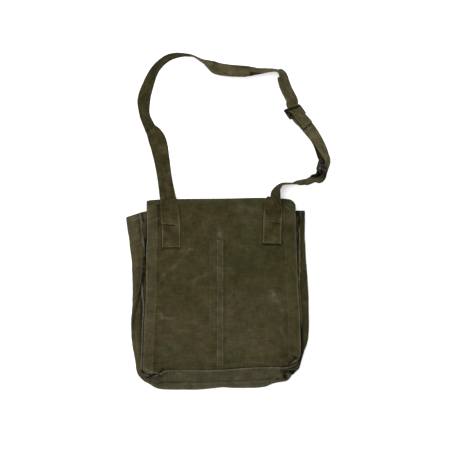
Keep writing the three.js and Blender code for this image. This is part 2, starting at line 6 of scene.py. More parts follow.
import bpy
import numpy as np
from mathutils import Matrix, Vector


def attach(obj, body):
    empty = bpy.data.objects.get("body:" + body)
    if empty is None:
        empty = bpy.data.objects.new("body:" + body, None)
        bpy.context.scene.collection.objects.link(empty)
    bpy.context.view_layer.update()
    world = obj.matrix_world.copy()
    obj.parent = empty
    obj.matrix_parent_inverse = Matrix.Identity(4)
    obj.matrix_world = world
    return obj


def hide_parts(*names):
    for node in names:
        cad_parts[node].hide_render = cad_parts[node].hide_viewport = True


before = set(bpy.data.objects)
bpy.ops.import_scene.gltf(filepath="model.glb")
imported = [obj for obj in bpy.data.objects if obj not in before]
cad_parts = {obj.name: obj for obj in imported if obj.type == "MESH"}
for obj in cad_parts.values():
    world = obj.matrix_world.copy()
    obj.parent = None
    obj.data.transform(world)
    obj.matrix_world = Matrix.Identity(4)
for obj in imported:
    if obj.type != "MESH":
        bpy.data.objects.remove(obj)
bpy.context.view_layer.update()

MM = 0.001
UP = np.array([0.0, 0.0, 1.0])


def table(columns, rows):
    """Table with named columns, as arrays, from lines of numbers or a list of rows."""
    if isinstance(rows, str):
        rows = [line.split() for line in rows.strip().splitlines()]
    return dict(zip(columns.split(), np.array(rows, float).T))


def rows_of(rows, columns):
    """A table's rows one after another, each with its values in the named columns."""
    return zip(*(rows[name] for name in columns.split()))


# Driving sizes, those of the solid unless a comment says otherwise
CLOTH = 1.6
GAP = 0.4
TUCK_GAP = 0.8
PANEL_HEIGHT = 22
FLAP_END = -45
HEM_LEFT = 23
HEM_RIGHT = 26  # 3 wider than the solid's
HEM_RISE = 0.9
STRAP_WIDTH = 38
STRAP_HALF = STRAP_WIDTH / 2
STRAP_THICKNESS = 1.6
STRIP_LEFT = -28.4
STRIP_RIGHT = 2.1
STRIP_TOP = 95
STRIP_BOTTOM = -171  # 8 below the solid's
STRIP_THICKNESS = 1.2
SLIDE_DEPTH = 25
SLIDE_THICKNESS = 2.2
SLOT_DEPTH = 5.6
MIDDLE_BAR = 7

# Outline of the back panel, with the fold at its top
FOLD_EDGE = table("x y", """
-160 175.5
-150 177.4
-90 179.8
0 180.6
82 182.2
139 179.4
147 176
152 170
154 165
""")
LEFT_EDGE = table("y x", """
180 -159.8
150 -158.6
100 -158.5
74 -160.2
-10 -160.4
-52 -162.8
-101 -165.3
-155 -166.7
-190 -168.4
""")
RIGHT_EDGE = table("y x", """
180 153.3
141 153.9
63 156.5
0 158.6
-52 161.7
-115 164
-141 164.4
-154 161.5
-163 156
""")
BOTTOM_EDGE = table("x y", """
-169 -178
-160 -187.6
-136 -187.2
-122 -179
-16 -177.7
42 -172.8
102 -171.2
138 -171
157 -161.7
""")

# Broad dents and swells of the back panel
DENTS = table("x y reach rise", """
-70 40 62 -2.2
70 30 80 -2.8
-95 -70 55 1.4
65 -90 60 -1.8
120 -20 40 1.2
146 -158 17 -5
-146 -170 14 -2.5
""")
BOTTOM_DROP = 4.5
BOTTOM_REACH = 15
SIDE_DROP = 1.4
SIDE_REACH = 9
CORNER_SHARE = 0.1

# Sections of the gusset: the panel's edge, the outermost point, how far out the seam fin and the fold lie,
# the fold's depth and the height of the outermost point
GUSSET = table("x y out_x out_y fin fold dip rise", """
-158.6 157.4 -200.8 142.4 15.5 26 0 9
-158.9 124 -197.8 120 11.6 22 0 9
-159.4 88 -193.6 86 6.2 12 2 9
-160 48 -189.4 48 3.4 8 4 9
-160.4 -10 -187.5 -10 8.4 14 4 9
-162.4 -46 -188 -46 3.4 18 4 9
-164.2 -80 -190.5 -80 3.2 21.5 3 8
-166 -126 -188.4 -122 3 15 0 8
-167 -160 -181.6 -162 3 8.5 0 8
-168.2 -178 -178 -184.5 2.6 6.2 0 7
-160.2 -187.6 -163 -202.5 2.6 8 0 6
-136 -187.2 -139 -215.5 2.6 22 2.5 4.6
-121 -179 -117 -218.6 2.6 30 3 4.6
-16 -177.7 -16 -215.6 2.6 32 3 4.6
70 -172 70 -213.6 2.6 33.5 3 4.6
104 -171.2 100 -206.6 2.6 29 3 5
138 -171 133 -197.5 2.8 12 6 7
156.2 -162.6 158 -174.2 2.8 8 2 9
164.4 -141 169.4 -141 2.4 5.2 0 10
164 -115 178 -115 2.6 9 0 10
161.7 -52 179.6 -52 2.6 10 0 10
158.6 0 177.8 0 2.6 10 0 10
156.5 63 173.2 63 2.6 10 0 10
153.8 154.4 172 156.6 3.2 10 0 10
""")
FIN_HALF = 2.6
FIN_DROP = 1.2
GROOVE_DROP = 5
FLAT_GROOVE_DROP = 1.8  # along the bottom and the right side
TUCK = 10
FOOT = 20
HEEL = 6
CORE_X = 90
CORE_Y = -100
SHOULDER = 2
BELLY_RISE = 1
SWELL = 1.2  # how far the cloth of the gusset and of the top fold stands out past the solid
# Places where it stands out more or less
BULGES = table("x y reach out", """
-52 -217 26 1.8
84 -212 20 2.0
136 -198 12 3.2
-196 128 22 0.8
0 -215 14 -1.6
-154 -208 10 -1.8
147 -187 7 -2.2
161 -173 7 1.6
93 -209 9 1.6
172 113 26 -1.3
""")

# Front panel
FRONT_LEFT = -176
FRONT_RIGHT = 166
FRONT_TOP = 150
FRONT_BOTTOM = -204
FRONT_CORNER = 60
FRONT_EASE = 70

# Route of the strap's middle line: roll is its turn about that line in degrees and rest the height of its
# lower edge. The second table runs on from the lower slide.
LONG_ROUTE = table("x y roll rest", """
-107.9 79 180 0
-108.4 124 180 0
-111.7 164 166 24.2
-113.8 179 153 23
-121.6 225 142 6
-128.9 269 150 0.4
-136.9 303 166 0.4
-153 332 127 0.4
-163.6 358 123 0.4
-165.4 388 133 0.4
-156.8 419 126 0.4
-139.8 455 114 0.4
-110.3 479 107 0.4
-70.4 482 92 0.4
-39 469.4 75 0.4
-11.5 455.2 45 0.4
45.2 449.2 49 0.4
74 449.2 66 0.4
114 450.4 80 0.4
124.4 442.2 57 0.4
128.4 428 50 0.6
141.8 386 48 1.5
146 371 48 5
156.6 354.5 51 8
176.2 333.4 47 10
199.6 300.8 55 5
208.4 274 61 4
209.6 254 64 5
""")
SHORT_ROUTE = table("x y roll rest", """
203.5 236 64 8
182.5 219.6 72 4.8
163 214.9 74 2.6
148 214.8 90 0.4
123.4 211.6 98 2
112.6 200 112 9
109.6 184 126 20
107.7 172 162 24.2
105.8 153 178 23
104.8 132 180 0
103.5 87 180 0
""")
ROUTE = {name: np.concatenate([LONG_ROUTE[name], SHORT_ROUTE[name]]) for name in LONG_ROUTE}
LONG_ROWS = len(LONG_ROUTE["x"])
UPPER_SLIDE_ROW = 22
STRAIGHT_REACH = 14  # 18 in the solid
BLEND_REACH = 28  # 38 in the solid
LAP_LONG = 42
LAP_SHORT = 38
LAP_EASE = 14
LOOP_EASE = 45  # length over which the return run settles, 14 in the solid
RISE_EASE = 45
MARKS_PER_ROW = 40
SMALL = 0.5


# Numbers and curves

def mix(a, b, share):
    return a + (b - a) * share


def smooth(value, low, high):
    """0 below low, 1 above high, with a smooth rise between them."""
    part = np.clip((value - low) / (high - low), 0, 1)
    return part * part * (3 - 2 * part)


def bump(distance, reach):
    """1 at distance 0, falling off smoothly within about twice the reach."""
    return np.exp(-((distance / reach) ** 2))


def unit(vectors):
    return vectors / np.maximum(np.linalg.norm(vectors, axis=-1, keepdims=True), 1e-9)


def along(rows, key, column, at):
    """Value of a column at places along the key column, through all rows on a smooth curve."""
    order = np.argsort(rows[key])
    keys = rows[key][order]
    values = rows[column][order]
    place = np.clip(at, keys[0], keys[-1])
    i = np.clip(np.searchsorted(keys, place) - 1, 0, len(keys) - 2)
    span = np.diff(keys)
    slope = np.diff(values) / span
    before = slope[:-1]
    after = slope[1:]
    alike = before * after > 0
    meet = np.where(alike, 2 * before * after / np.where(alike, before + after, 1), 0)
    tangent = np.concatenate([slope[:1], meet, slope[-1:]])
    t = (place - keys[i]) / span[i]
    rest = 1 - t
    return (
        values[i] * (1 + 2 * t) * rest * rest
        + values[i + 1] * t * t * (3 - 2 * t)
        + span[i] * t * rest * (tangent[i] * rest - tangent[i + 1] * t)
    )


def through(points, parts):
    """Centripetal curve through points[0], points[1] and so on, at fractional places along them."""
    ends = [2 * points[:1] - points[1:2], points, 2 * points[-1:] - points[-2:-1]]
    padded = np.concatenate(ends)
    i = np.clip(np.floor(parts).astype(int), 0, len(points) - 2)
    p0, p1, p2, p3 = (padded[i + k] for k in range(4))
    knot = [np.linalg.norm(b - a, axis=-1, keepdims=True) ** 0.5 for a, b in ((p0, p1), (p1, p2), (p2, p3))]
    d1 = np.where(knot[1] < 1e-2, 1, knot[1])
    d0 = np.where(knot[0] < 1e-2, d1, knot[0])
    d2 = np.where(knot[2] < 1e-2, d1, knot[2])
    start = ((p1 - p0) / d0 - (p2 - p0) / (d0 + d1) + (p2 - p1) / d1) * d1
    finish = ((p2 - p1) / d1 - (p3 - p1) / (d1 + d2) + (p3 - p2) / d2) * d1
    t = (parts - i).reshape((len(i),) + (1,) * (points.ndim - 1))
    square = -3 * p1 + 3 * p2 - 2 * start - finish
    cube = 2 * p1 - 2 * p2 + start + finish
    return p1 + start * t + square * t ** 2 + cube * t ** 3


def lengths(grid, axis):
    """Length along a grid's rows or columns, measured from its start."""
    steps = np.linalg.norm(np.diff(grid, axis=axis), axis=-1)
    return np.insert(np.cumsum(steps, axis=axis), 0, 0, axis=axis)


def ripples(seed, count, shortest, longest):
    """Random soft ripples over a plane, about 1 high, as a function of two coordinates."""
    draw = np.random.default_rng(seed)
    turn = draw.uniform(0, 2 * np.pi, count)
    length = np.exp(draw.uniform(np.log(shortest), np.log(longest), count))
    phase = draw.uniform(0, 2 * np.pi, count)

    def field(x, y):
        total = np.zeros(np.broadcast(x, y).shape)
        for a, size, offset in zip(turn, length, phase):
            total += np.sin((x * np.cos(a) + y * np.sin(a)) * 2 * np.pi / size + offset)
        return total * (2 / count) ** 0.5

    return field


def uneven(field, mean, swing, least, most):
    """A strength that follows a field of ripples between two limits."""
    return np.clip(mean + swing * field, least, most)


def from_line(x, y, x0, y0, x1, y1):
    """Distance from a line between two points."""
    long = np.hypot(x1 - x0, y1 - y0)
    ahead_x = (x1 - x0) / long
    ahead_y = (y1 - y0) / long
    part = np.clip((x - x0) * ahead_x + (y - y0) * ahead_y, 0, long)
    return np.hypot(x - x0 - part * ahead_x, y - y0 - part * ahead_y)


bend_x = ripples(1, 24, 12, 60)
bend_y = ripples(2, 24, 12, 60)
patchy = ripples(3, 30, 6, 26)
BEND = 1.3  # how far a crease strays from its straight line
GUSSET_BEND = 0.4


def creased(creases, x, y, column, bend=BEND):
    """Sum of the creases' column at each point, each one strongest near its own line and broken along it."""
    total = np.zeros(np.broadcast(x, y).shape)
    bent_x = x + bend * bend_x(x, y)
    bent_y = y + bend * bend_y(x, y)
    for *ends, width, amount in rows_of(creases, "x0 y0 x1 y1 width " + column):
        total += amount * bump(from_line(bent_x, bent_y, *ends), width)
    return total * uneven(patchy(x, y), mean=0.9, swing=0.3, least=0.3, most=1.4)


def spotted(spots, x, y, column):
    """Sum of the spots' column at each point."""
    total = np.zeros(np.broadcast(x, y).shape)
    for spot_x, spot_y, reach, amount in rows_of(spots, "x y reach " + column):
        total += amount * bump(np.hypot(x - spot_x, y - spot_y), reach)
    return total


# Lines of wear, dirt, colour, painted shade, painted shadow and painted highlight: distance from an edge, a
# place or a gusset part, reach and strength
LINES = {
    "side_wear": (0.8, 1.3, 0.6),
    "right_wear": (0.6, 1.2, 0.5),
    "left_hem_dirt": (1, 1.6, 0.2),
    "right_hem_dirt": (1, 2, 0.1),
    # painted shadow where the panel's lower edge dips into its seam
    "foot_shadow": (0, 2, 0.25),
    "strip_dirt": (1.2, 1.2, 0.3),
    "fold_dirt": (8, 5, 0.12),
    "fold_wear": (0, 6, 0.16),
    "fold_green": (6, 9, 0.6),
    "front_wear": (0, 3, 0.3),
    # worn seam crest of the gusset, with a painted highlight
    "fin_wear_and_highlight": (2, 0.42, 1.3),
    "lip_wear": (6, 0.5, 0.16),
    "top_wear": (0, 1.2, 0.5),
    "top_seam": (-1, 0.9, 0.35),
    "top_middle_seam": (0, 0.9, 0.35),
    "top_hem_dirt": (0.8, 1.2, 0.2),
    # painted shade in the grooves inside and outside the gusset seam's crest
    "inner_groove_shade": (1.05, 0.5, 1),
    "outer_groove_shade": (3, 0.45, 1),
    "bottom_fold": (4, 0.24, 1),
    "left_shadow": (0.2, 2, 0.85),
    "right_shadow": (2.6, 1.7, 0.85),
    "strip_edge_wear": (0, 1.4, 0.1),
    "strip_right_line": (-0.5, 1.2, 0.34),
    "strip_seam_line": (0, 1.2, 0.34),
    "strip_seam_dirt": (-2, 1.2, 0.2),
    "strip_pale": (-71, 22, 0.16),
    "strip_dull": (42, 24, 0.06),
    "strip_green": (-100, 60, 0.3),
    "strap_edge_wear": (0, 1.3, 0.22),
    "strap_rib_wear": (5, 0.9, 0.14),
    "strap_rib_dirt": (2.8, 1, 0.16),
    "folded_wear": (-3, 2.5, 0.4),
    "sewn_edge_wear": (0.8, 0.9, 0.8),
    "sewn_end_wear": (1, 1, 0.7),
    # painted shadow along the lap's edge and below its end
    "lap_edge_shadow": (0, 1.2, 0.7),
    "lap_end_shadow": (1.2, 1.6, 0.85),
    # painted shade where the strap dives into the upper slide's slot
    "slot_shade": (0, 2.2, 0.9),
    # painted shade standing in for the dark gaps and openings of the lower slide
    "slide_shade": (11, 8, 0.9),
    "gather_shade": (0, 22, 0.9),
}
DARKEST = 0.9


def line(name, distance):
    """Strength of one of these lines at a distance from its edge or place."""
    offset, reach, strength = LINES[name]
    return strength * bump(distance - offset, reach)


# Meshes

def cloth_normals(grid):
    return unit(np.cross(np.gradient(grid, axis=0), np.gradient(grid, axis=1)))


def add_object(name, data):
    item = bpy.data.objects.new(name, data)
    bpy.context.scene.collection.objects.link(item)
    return item


def add_piece(name, points, faces, material, replaced=None):
    mesh = bpy.data.meshes.new(name)
    mesh.from_pydata((points * MM).tolist(), [], faces)
    mesh.polygons.foreach_set("use_smooth", np.ones(len(mesh.polygons), bool))
    mesh.materials.append(material)
    mesh.update()
    piece = add_object(name, mesh)
    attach(piece, "root")
    if replaced:
        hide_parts(replaced)
    return piece


def store(piece, name, kind, field, values):
    """Stores a value for each point, for the material."""
    attribute = piece.data.attributes.new(name, kind, "POINT")
    attribute.data.foreach_set(field, np.asarray(values, np.float32).ravel())


def rounded_rim(count, steps):
    """Share of the full thickness at each row or column of a cloth whose first and last few are rounded."""
    share = np.ones(count)
    share[: len(steps)] = steps
    share[-len(steps):] = steps[::-1]
    return share


RIM_STEPS = [0.45, 0.8, 0.95]


def add_cloth(name, node, grid, thickness, looks, material, slot, extra=0, ends=RIM_STEPS, sides=RIM_STEPS):
    """Closed cloth round a grid of middle points; extra thickens its over face, ends and sides round its rim.

    A look is one value for both faces, or a pair for the over and the under face.
    """
    rows, columns = grid.shape[:2]
    share = np.outer(rounded_rim(rows, ends), rounded_rim(columns, sides))
    normals = cloth_normals(grid)
    top = grid + normals * ((thickness / 2 + extra) * share)[..., None]
    low = grid - normals * (thickness / 2 * share)[..., None]
    points = np.concatenate([top.reshape(-1, 3), low.reshape(-1, 3)])
    below = rows * columns
    index = np.arange(below).reshape(rows, columns)
    a, b, c, d = index[:-1, :-1], index[1:, :-1], index[1:, 1:], index[:-1, 1:]
    upper = np.stack([a, b, c, d], axis=-1).reshape(-1, 4)
    lower = np.stack([a, d, c, b], axis=-1).reshape(-1, 4) + below
    rim = np.concatenate([index[:, 0], index[-1, 1:], index[-2::-1, -1], index[0, -2:0:-1]])
    after = np.roll(rim, -1)
    wall = np.stack([after, rim, rim + below, after + below], axis=-1)
    piece = add_piece(name, points, np.concatenate([upper, lower, wall]).tolist(), material, node)
    for key in ("pale", "dark", "green", "rust"):
        look = looks.get(key, 0)
        faces = look if isinstance(look, tuple) else (look, look)
        store(piece, key, "FLOAT", "value", [np.broadcast_to(face, share.shape) for face in faces])
    flat_place = np.stack([lengths(grid, 1), lengths(grid, 0), np.zeros(share.shape)], axis=-1) * MM
    store(piece, "cloth", "FLOAT_VECTOR", "vector", [flat_place, flat_place])
    return piece


# Materials

class Nodes:
    """Short calls that add and link the nodes of one material."""

    def __init__(self, name):
        self.material = bpy.data.materials.new(name)
        self.material.use_nodes = True
        self.tree = self.material.node_tree
        self.shader = self.tree.nodes["Principled BSDF"]

    def fill(self, node, inputs):
        """Puts values on a node's inputs, or links the outputs of other nodes to them."""
        for name, value in inputs.items():
            if isinstance(value, bpy.types.NodeSocket):
                self.tree.links.new(value, node.inputs[name])
            else:
                node.inputs[name].default_value = value

    def add(self, kind, inputs, output=0, **settings):
        node = self.tree.nodes.new("ShaderNode" + kind)
        for name, setting in settings.items():
            setattr(node, name, setting)
        self.fill(node, inputs)
        return node.outputs[output]

    def value(self, name, output="Fac"):
        return self.add("Attribute", {}, output, attribute_name=name)

    def object_place(self):
        return self.add("TexCoord", {}, "Object")

    def stretch(self, source, scale):
        return self.add("VectorMath", {0: source, 1: scale}, operation="MULTIPLY")

    def noise(self, source, scale, detail=3.0, roughness=0.55):
        inputs = {"Vector": source, "Scale": scale, "Detail": detail, "Roughness": roughness}
        return self.add("TexNoise", inputs, "Fac")

    def bands(self, source, direction, period):
        """Sine bands across one direction with this period in metres."""
        inputs = {"Vector": source, "Scale": np.pi / 10 / period}
        return self.add("TexWave", inputs, "Fac", bands_direction=direction)

    def remap(self, source, low, high, to_low=0.0, to_high=1.0):
        inputs = {"Value": source, "From Min": low, "From Max": high, "To Min": to_low, "To Max": to_high}
        return self.add("MapRange", inputs)

    def math(self, operation, a, b):
        return self.add("Math", {0: a, 1: b}, operation=operation)

    def times(self, a, b):
        return self.math("MULTIPLY", a, b)

    def blend(self, share, a, b, clamp=True):
        """Colour a turning to colour b by a share, which may go over 1 where it isn't clamped.

        The node's colours are its inputs 6 and 7 and its output 2.
        """
        return self.add("Mix", {"Factor": share, 6: a, 7: b}, 2, data_type="RGBA", clamp_factor=clamp)

    def brighten(self, colour, factor):
        """Colour times a brightness."""
        return self.add("VectorMath", {0: colour, "Scale": factor}, operation="SCALE")

    def relief(self, height, strength, distance):
        return self.add("Bump", {"Height": height, "Strength": strength, "Distance": distance})

    def surface(self, colour, roughness, normal, shine):
        inputs = {"Base Color": colour, "Roughness": roughness, "Normal": normal, "Specular IOR Level": shine}
        self.fill(self.shader, inputs)
        return self.material


OLIVE = (0.0312, 0.0256, 0.0082, 1)
GREEN = (0.0252, 0.0266, 0.0084, 1)
BROWN = (0.0404, 0.0292, 0.0142, 1)
PALE = (0.0910, 0.0815, 0.0550, 1)
STRAW = (0.0950, 0.0825, 0.0410, 1)
RUST = (0.0620, 0.0300, 0.0100, 1)
DARK_THREAD = (0.055, 0.050, 0.027, 1)
LIGHT_THREAD = (0.095, 0.085, 0.050, 1)
BLACKED = (0.002, 0.0016, 0.0010, 1)
# Bare worn metal, which also serves as painted highlights on the slides
BARE_METAL_AND_HIGHLIGHT = (0.046, 0.036, 0.021, 1)
FLOOR_WHITE = (0.92, 0.92, 0.92, 1)
WHITE = (1, 1, 1, 1)


def cloth_material(name, warp, weft, lift, faded_and_lit, grain):
    """Cotton cloth.

    Warp and weft are the thread spacings in metres, lift a brightness, faded_and_lit the colour that worn
    parts and parts with painted light turn to, and grain is how much the threads differ in brightness.
    """
    n = Nodes(name)
    body = n.object_place()
    cloth = n.value("cloth", "Vector")
    patches = n.remap(n.noise(body, scale=22, detail=4, roughness=0.6), 0.36, 0.64, 0, 0.6)
    stains = n.noise(n.stretch(body, (1, 1.4, 1)), scale=38, detail=5, roughness=0.62)
    colour = n.blend(patches, OLIVE, GREEN)
    colour = n.blend(n.times(n.remap(stains, 0.47, 0.66), 0.8), colour, BROWN)
    colour = n.blend(n.value("green"), colour, GREEN)
    colour = n.blend(n.value("rust"), colour, RUST)
    scuffs = n.remap(n.noise(body, scale=120, detail=4, roughness=0.65), 0.5, 0.8, 0, 0.35)
    fray = n.remap(n.noise(body, scale=260, detail=3, roughness=0.6), 0.3, 0.7, 0.6, 1.2)
    # Paleness from wear and scuffs; the pale value also carries painted light on the gusset, the left hem and
    # the strap's outer face
    worn_and_lit = n.math("MAXIMUM", n.times(n.value("pale"), fray), n.times(scuffs, 0.45))
    colour = n.blend(worn_and_lit, colour, faded_and_lit, clamp=False)
    slub_ahead = n.noise(n.stretch(cloth, (1, 0.15, 1)), scale=380, detail=2, roughness=0.5)
    slub_across = n.noise(n.stretch(cloth, (0.12, 1, 1)), scale=380, detail=2, roughness=0.5)
    slubs = n.math("ADD", n.times(slub_ahead, 0.6), slub_across)
    slubs = n.remap(slubs, 0.5, 1.1, 1 - grain, 1 + grain)
    mottle = n.remap(n.noise(body, scale=46, detail=5, roughness=0.66), 0.3, 0.7, 0.7, 1.3)
    shade = n.remap(n.value("dark"), 0, 1, lift, 0.05 * lift)
    colour = n.brighten(colour, n.times(n.times(slubs, mottle), shade))
    threads = n.times(n.bands(cloth, "X", warp), n.bands(cloth, "Y", weft))
    height = n.math("ADD", n.times(threads, 0.55), n.times(slubs, 0.6))
    roughness = n.remap(slubs, 1 - grain, 1 + grain, 0.98, 0.86)
    return n.surface(colour, roughness, n.relief(height, strength=0.32, distance=0.0006), shine=0.05)


def thread_material():
    n = Nodes("thread")
    body = n.object_place()
    colour = n.blend(n.noise(body, scale=90), DARK_THREAD, LIGHT_THREAD)
    roughness = n.remap(n.noise(body, scale=700, detail=2), 0.3, 0.7, 0.7, 0.95)
    normal = n.relief(n.noise(body, scale=2500, detail=2), strength=0.3, distance=0.0002)
    return n.surface(colour, roughness, normal, shine=0.5)


def metal_material():
    n = Nodes("dark_metal")
    body = n.object_place()
    # Patches of worn bare metal, which also stand in as painted highlights
    worn_and_lit = n.remap(n.noise(body, scale=240, detail=5, roughness=0.7), 0.46, 0.58)
    roughness = n.remap(n.noise(body, scale=500, detail=4), 0.3, 0.7, 0.5, 0.8)
    normal = n.relief(n.noise(body, scale=420, detail=4), strength=0.5, distance=0.0008)
    n.fill(n.shader, {"Metallic": 0.1})
    return n.surface(n.blend(worn_and_lit, BLACKED, BARE_METAL_AND_HIGHLIGHT), roughness, normal, shine=0.03)


CANVAS = cloth_material("canvas", warp=0.0009, weft=0.0009, lift=1.0, faded_and_lit=PALE, grain=0.23)
WEBBING = cloth_material("webbing", warp=0.0014, weft=0.0009, lift=0.97, faded_and_lit=STRAW, grain=0.40)
THREAD = thread_material()
METAL = metal_material()

# Back panel

FLAP_HEIGHT = CLOTH / 2
FOLD_RADIUS = (PANEL_HEIGHT - FLAP_HEIGHT) / 2
FOLD_BACK = FOLD_RADIUS + CLOTH / 2


def bottom_at(x):
    return along(BOTTOM_EDGE, "x", "y", x)


def fold_at(x):
    return along(FOLD_EDGE, "x", "y", x) + SWELL


def left_at(y):
    return along(LEFT_EDGE, "y", "x", y)


def right_at(y):
    return along(RIGHT_EDGE, "y", "x", y)


def from_sides(x, y):
    return np.minimum(x - left_at(y), right_at(y) - x)


# Creases of the back panel: ridges rise, valleys fall, worn ridges are paler and valleys are darker with
# painted shade; the last two rows, which only darken, are painted shadows beside the raised strap ends
PANEL_CREASES = table("x0 y0 x1 y1 width rise pale dark", """
-135 3 -97 45 2.4 0.9 0.22 0
-97 45 -63 78 2.6 0.9 0.26 0
-130 -10 -97 26 7 -0.8 0 0.06
-86 70 -61 80 3 0.5 0.25 0
-130 -58 -124 -68 3 0.8 0.35 0
-124 -69 -101 -70 3 0.8 0.35 0
-133 4 -108 -2 3 -0.6 0 0.12
-62 8 -36 24 4 0.6 0.25 0
-57 -82 -30 -88 4 0.6 0.2 0
-95 -118 -55 -112 5 -0.7 0 0.10
-150 -150 -60 -165 5 -0.9 0 0.10
6 -166 48 -154 4 -1.4 0 0.16
48 -154 138 -152 4.5 -1.2 0 0.10
30 -166 120 -163 3 0.9 0.15 0
104 -14 116 -34 4 0.7 0.3 0
120 -38 124 -52 3.5 0.6 0.25 0
122 -92 130 -106 3 0.6 0.25 0
20 88 54 78 5 0.5 0.12 0
84 80 112 62 5 -0.7 0 0.08
124 68 136 30 6 -0.8 0 0.10
-48 150 40 156 5 -0.6 0 0.06
36 164 74 158 4 0.7 0.18 0
126 172 150 150 3 1.2 0.25 0
141 172 151 160 2 0.8 0.5 0
132 176 154 158 2.4 -1.3 0 0.25
118 178 140 166 3 -0.8 0 0.15
118 -158 136 -164 2.8 1.2 0.2 0
138 -142 160 -150 2.6 1.2 0.2 0
136 -170 150 -153 2.2 -1.6 0 0.7
150 -153 157 -156 2.4 -1.2 0 0.75
143 -168 157 -158 2.0 1.6 0.6 0
144 -172 158 -169 1.8 -1.2 0 0.8
130 -171 139 -171.5 2.2 -1.0 0 0.8
-166 -176 -150 -186 2.0 1.2 0.6 0
-150 -164 -116 -165 3 -1.4 0 0.32
-150 -184 -134 -184 1.6 1.0 0.5 0
-131 -184 -125 -177 2.8 -1.6 0 0.85
-124 -175 -96 -175.5 1.6 -0.6 0 0.4
-134 172 -132.5 130 4.5 0 0 0.4
129.5 168 130 96 2.4 0 0 0.35
""")
# Faded, greenish, rusty and dirty areas of the back panel
PANEL_SPOTS = table("x y reach pale green rust dark", """
47 46 46 0 0.75 0 0.08
96 60 30 0 0.4 0 0.05
-70 20 40 0 0.3 0 0
-121 -136 14 0.10 0.9 0 0
108 -24 20 0.16 0.5 0 0
26 -14 10 0.08 0.5 0 0
-110 -88 34 0.10 0 0.10 0
-30 -110 40 0.04 0 0.06 0
89 -130 30 0.10 0 0.12 0
60 -112 30 0.08 0 0.08 0
37 -65 6 0 0 0.5 0.1
30 -70 4 0 0 0.4 0
23.8 -20.3 1.8 0 0 0 0.75
-61 129 2.0 0 0 0 0.6
-110 63 34 0.05 0 0.10 0
-80 150 40 0.03 0 0.10 0
70 156 26 0.10 0 0 0
50 120 26 0.06 0.5 0 0
-35 40 16 0.10 0 0 0
0 -130 120 0.12 0 0 0
60 -160 60 0 0.45 0 0
-60 -168 50 0 0.4 0 0
132 90 30 0 0.5 0 0.06
-7 110 7 0.30 0.8 0 0
-8 119 5 0.26 0.6 0 0
-6.0 107 3.0 0.75 0.4 0 0
-1.4 100 2.8 0.50 0.3 0 0
-7 100 2.4 0.20 0.3 0 0
145 116 9 0 0.4 0 0.3
22 -8.4 1.6 0 0 0 0.5
151 -164 7 0.2 0.9 0 0
-140 -178 9 0.05 0.8 0 0.15
-124 60 18 0 0 0 0.10
110 80 20 0 0 0 0.14
134 -147 20 0 0 0 0.28
-145 -75 22 0.06 0 0 0
-80 118 10 0 0 0 0.14
-58 158 22 0 0 0 0.1
60 -58 28 0.07 0.2 0 0
131 -30 34 0.05 0 0 0
-95 -147 24 0.06 0 0 0
-9 104 5 0.15 0.5 0 0
-2 112 5 0.15 0.5 0 0
""")
# The strap's two sewn ends: middle and lower end of the flat cloth under each, of the painted shadow beside
# it and of the painted shadow below it, with that shadow's reach and strength
SEWN_ENDS = table("x low side_x side_low foot_x foot reach dark", """
-108 70 -108.2 74 -108 77 2.2 0.45
105 78 104.5 82 103.5 85 2.6 0.6
""")
SEWN_FLAT = 24  # half width of the flat cloth under a sewn end
SEWN_FLAT_EASE = 4
SEWN_FOOT = 21  # half width of the painted shadow below it
SEWN_FOOT_EASE = 3
SEWN_SHADOW = 0.35
SEWN_SHADOW_REACH = 2.2
SEWN_SHADOW_EASE = 8
SEWN_EASE = 6
STRIP_MIDDLE = -13
STRIP_FLAT = 18
STRIP_FLAT_EASE = 3
STRIP_DIRT_PAST = 1  # how far past the strip's upper end the dirt beside it goes
STRIP_DIRT_EASE = 3
panel_ripple = ripples(11, 48, 14, 70)
panel_pucker = ripples(12, 40, 5, 12)
RIPPLE_RISE = 0.22
PUCKER_RISE = 0.20
PUCKER_REACH = 7
PUCKER_STRETCH = 0.6
STRIP_PUCKER = 5  # distance of the gathers from the strip
FOOT_PUCKER = 4  # and from the panel's lower edge


def panel_height(x, y):
    """Height of the back panel's middle surface, with its broad dents."""
    height = PANEL_HEIGHT + spotted(DENTS, x, y, "rise")
    level = smooth(fold_at(x) - FOLD_BACK - y, 0, FOLD_BACK * 2)
    height -= BOTTOM_DROP * (1 - smooth(y - bottom_at(x), 0, BOTTOM_REACH))
    height -= SIDE_DROP * level * (1 - smooth(from_sides(x, y), 0, SIDE_REACH))
    return mix(PANEL_HEIGHT, height, level)


def strap_shelter(x, y):
    """1 under the sewn strap ends and the centre strip, where the panel lies flat."""
    under_strip = smooth(STRIP_FLAT - np.abs(x - STRIP_MIDDLE), 0, STRIP_FLAT_EASE)
    shelter = under_strip * smooth(STRIP_TOP + STRIP_FLAT_EASE - y, 0, STRIP_FLAT_EASE)
    for end_x, low in rows_of(SEWN_ENDS, "x low"):
        under_end = smooth(SEWN_FLAT - np.abs(x - end_x), 0, SEWN_FLAT_EASE)
        shelter = np.maximum(shelter, under_end * smooth(y, low, low + SEWN_EASE))
    return shelter


def strap_shadow(x, y):
    """Painted shadow beside the edges of the sewn strap ends and below them."""
    total = 0
    columns = "side_x side_low foot_x foot reach dark"
    for side_x, low, foot_x, foot, reach, dark in rows_of(SEWN_ENDS, columns):
        beside = np.maximum(np.abs(x - side_x) - STRAP_HALF, 0)
        total += SEWN_SHADOW * bump(beside, SEWN_SHADOW_REACH) * smooth(y, low, low + SEWN_SHADOW_EASE)
        total += dark * bump(y - foot, reach) * smooth(SEWN_FOOT - np.abs(x - foot_x), 0, SEWN_FOOT_EASE)
    return total


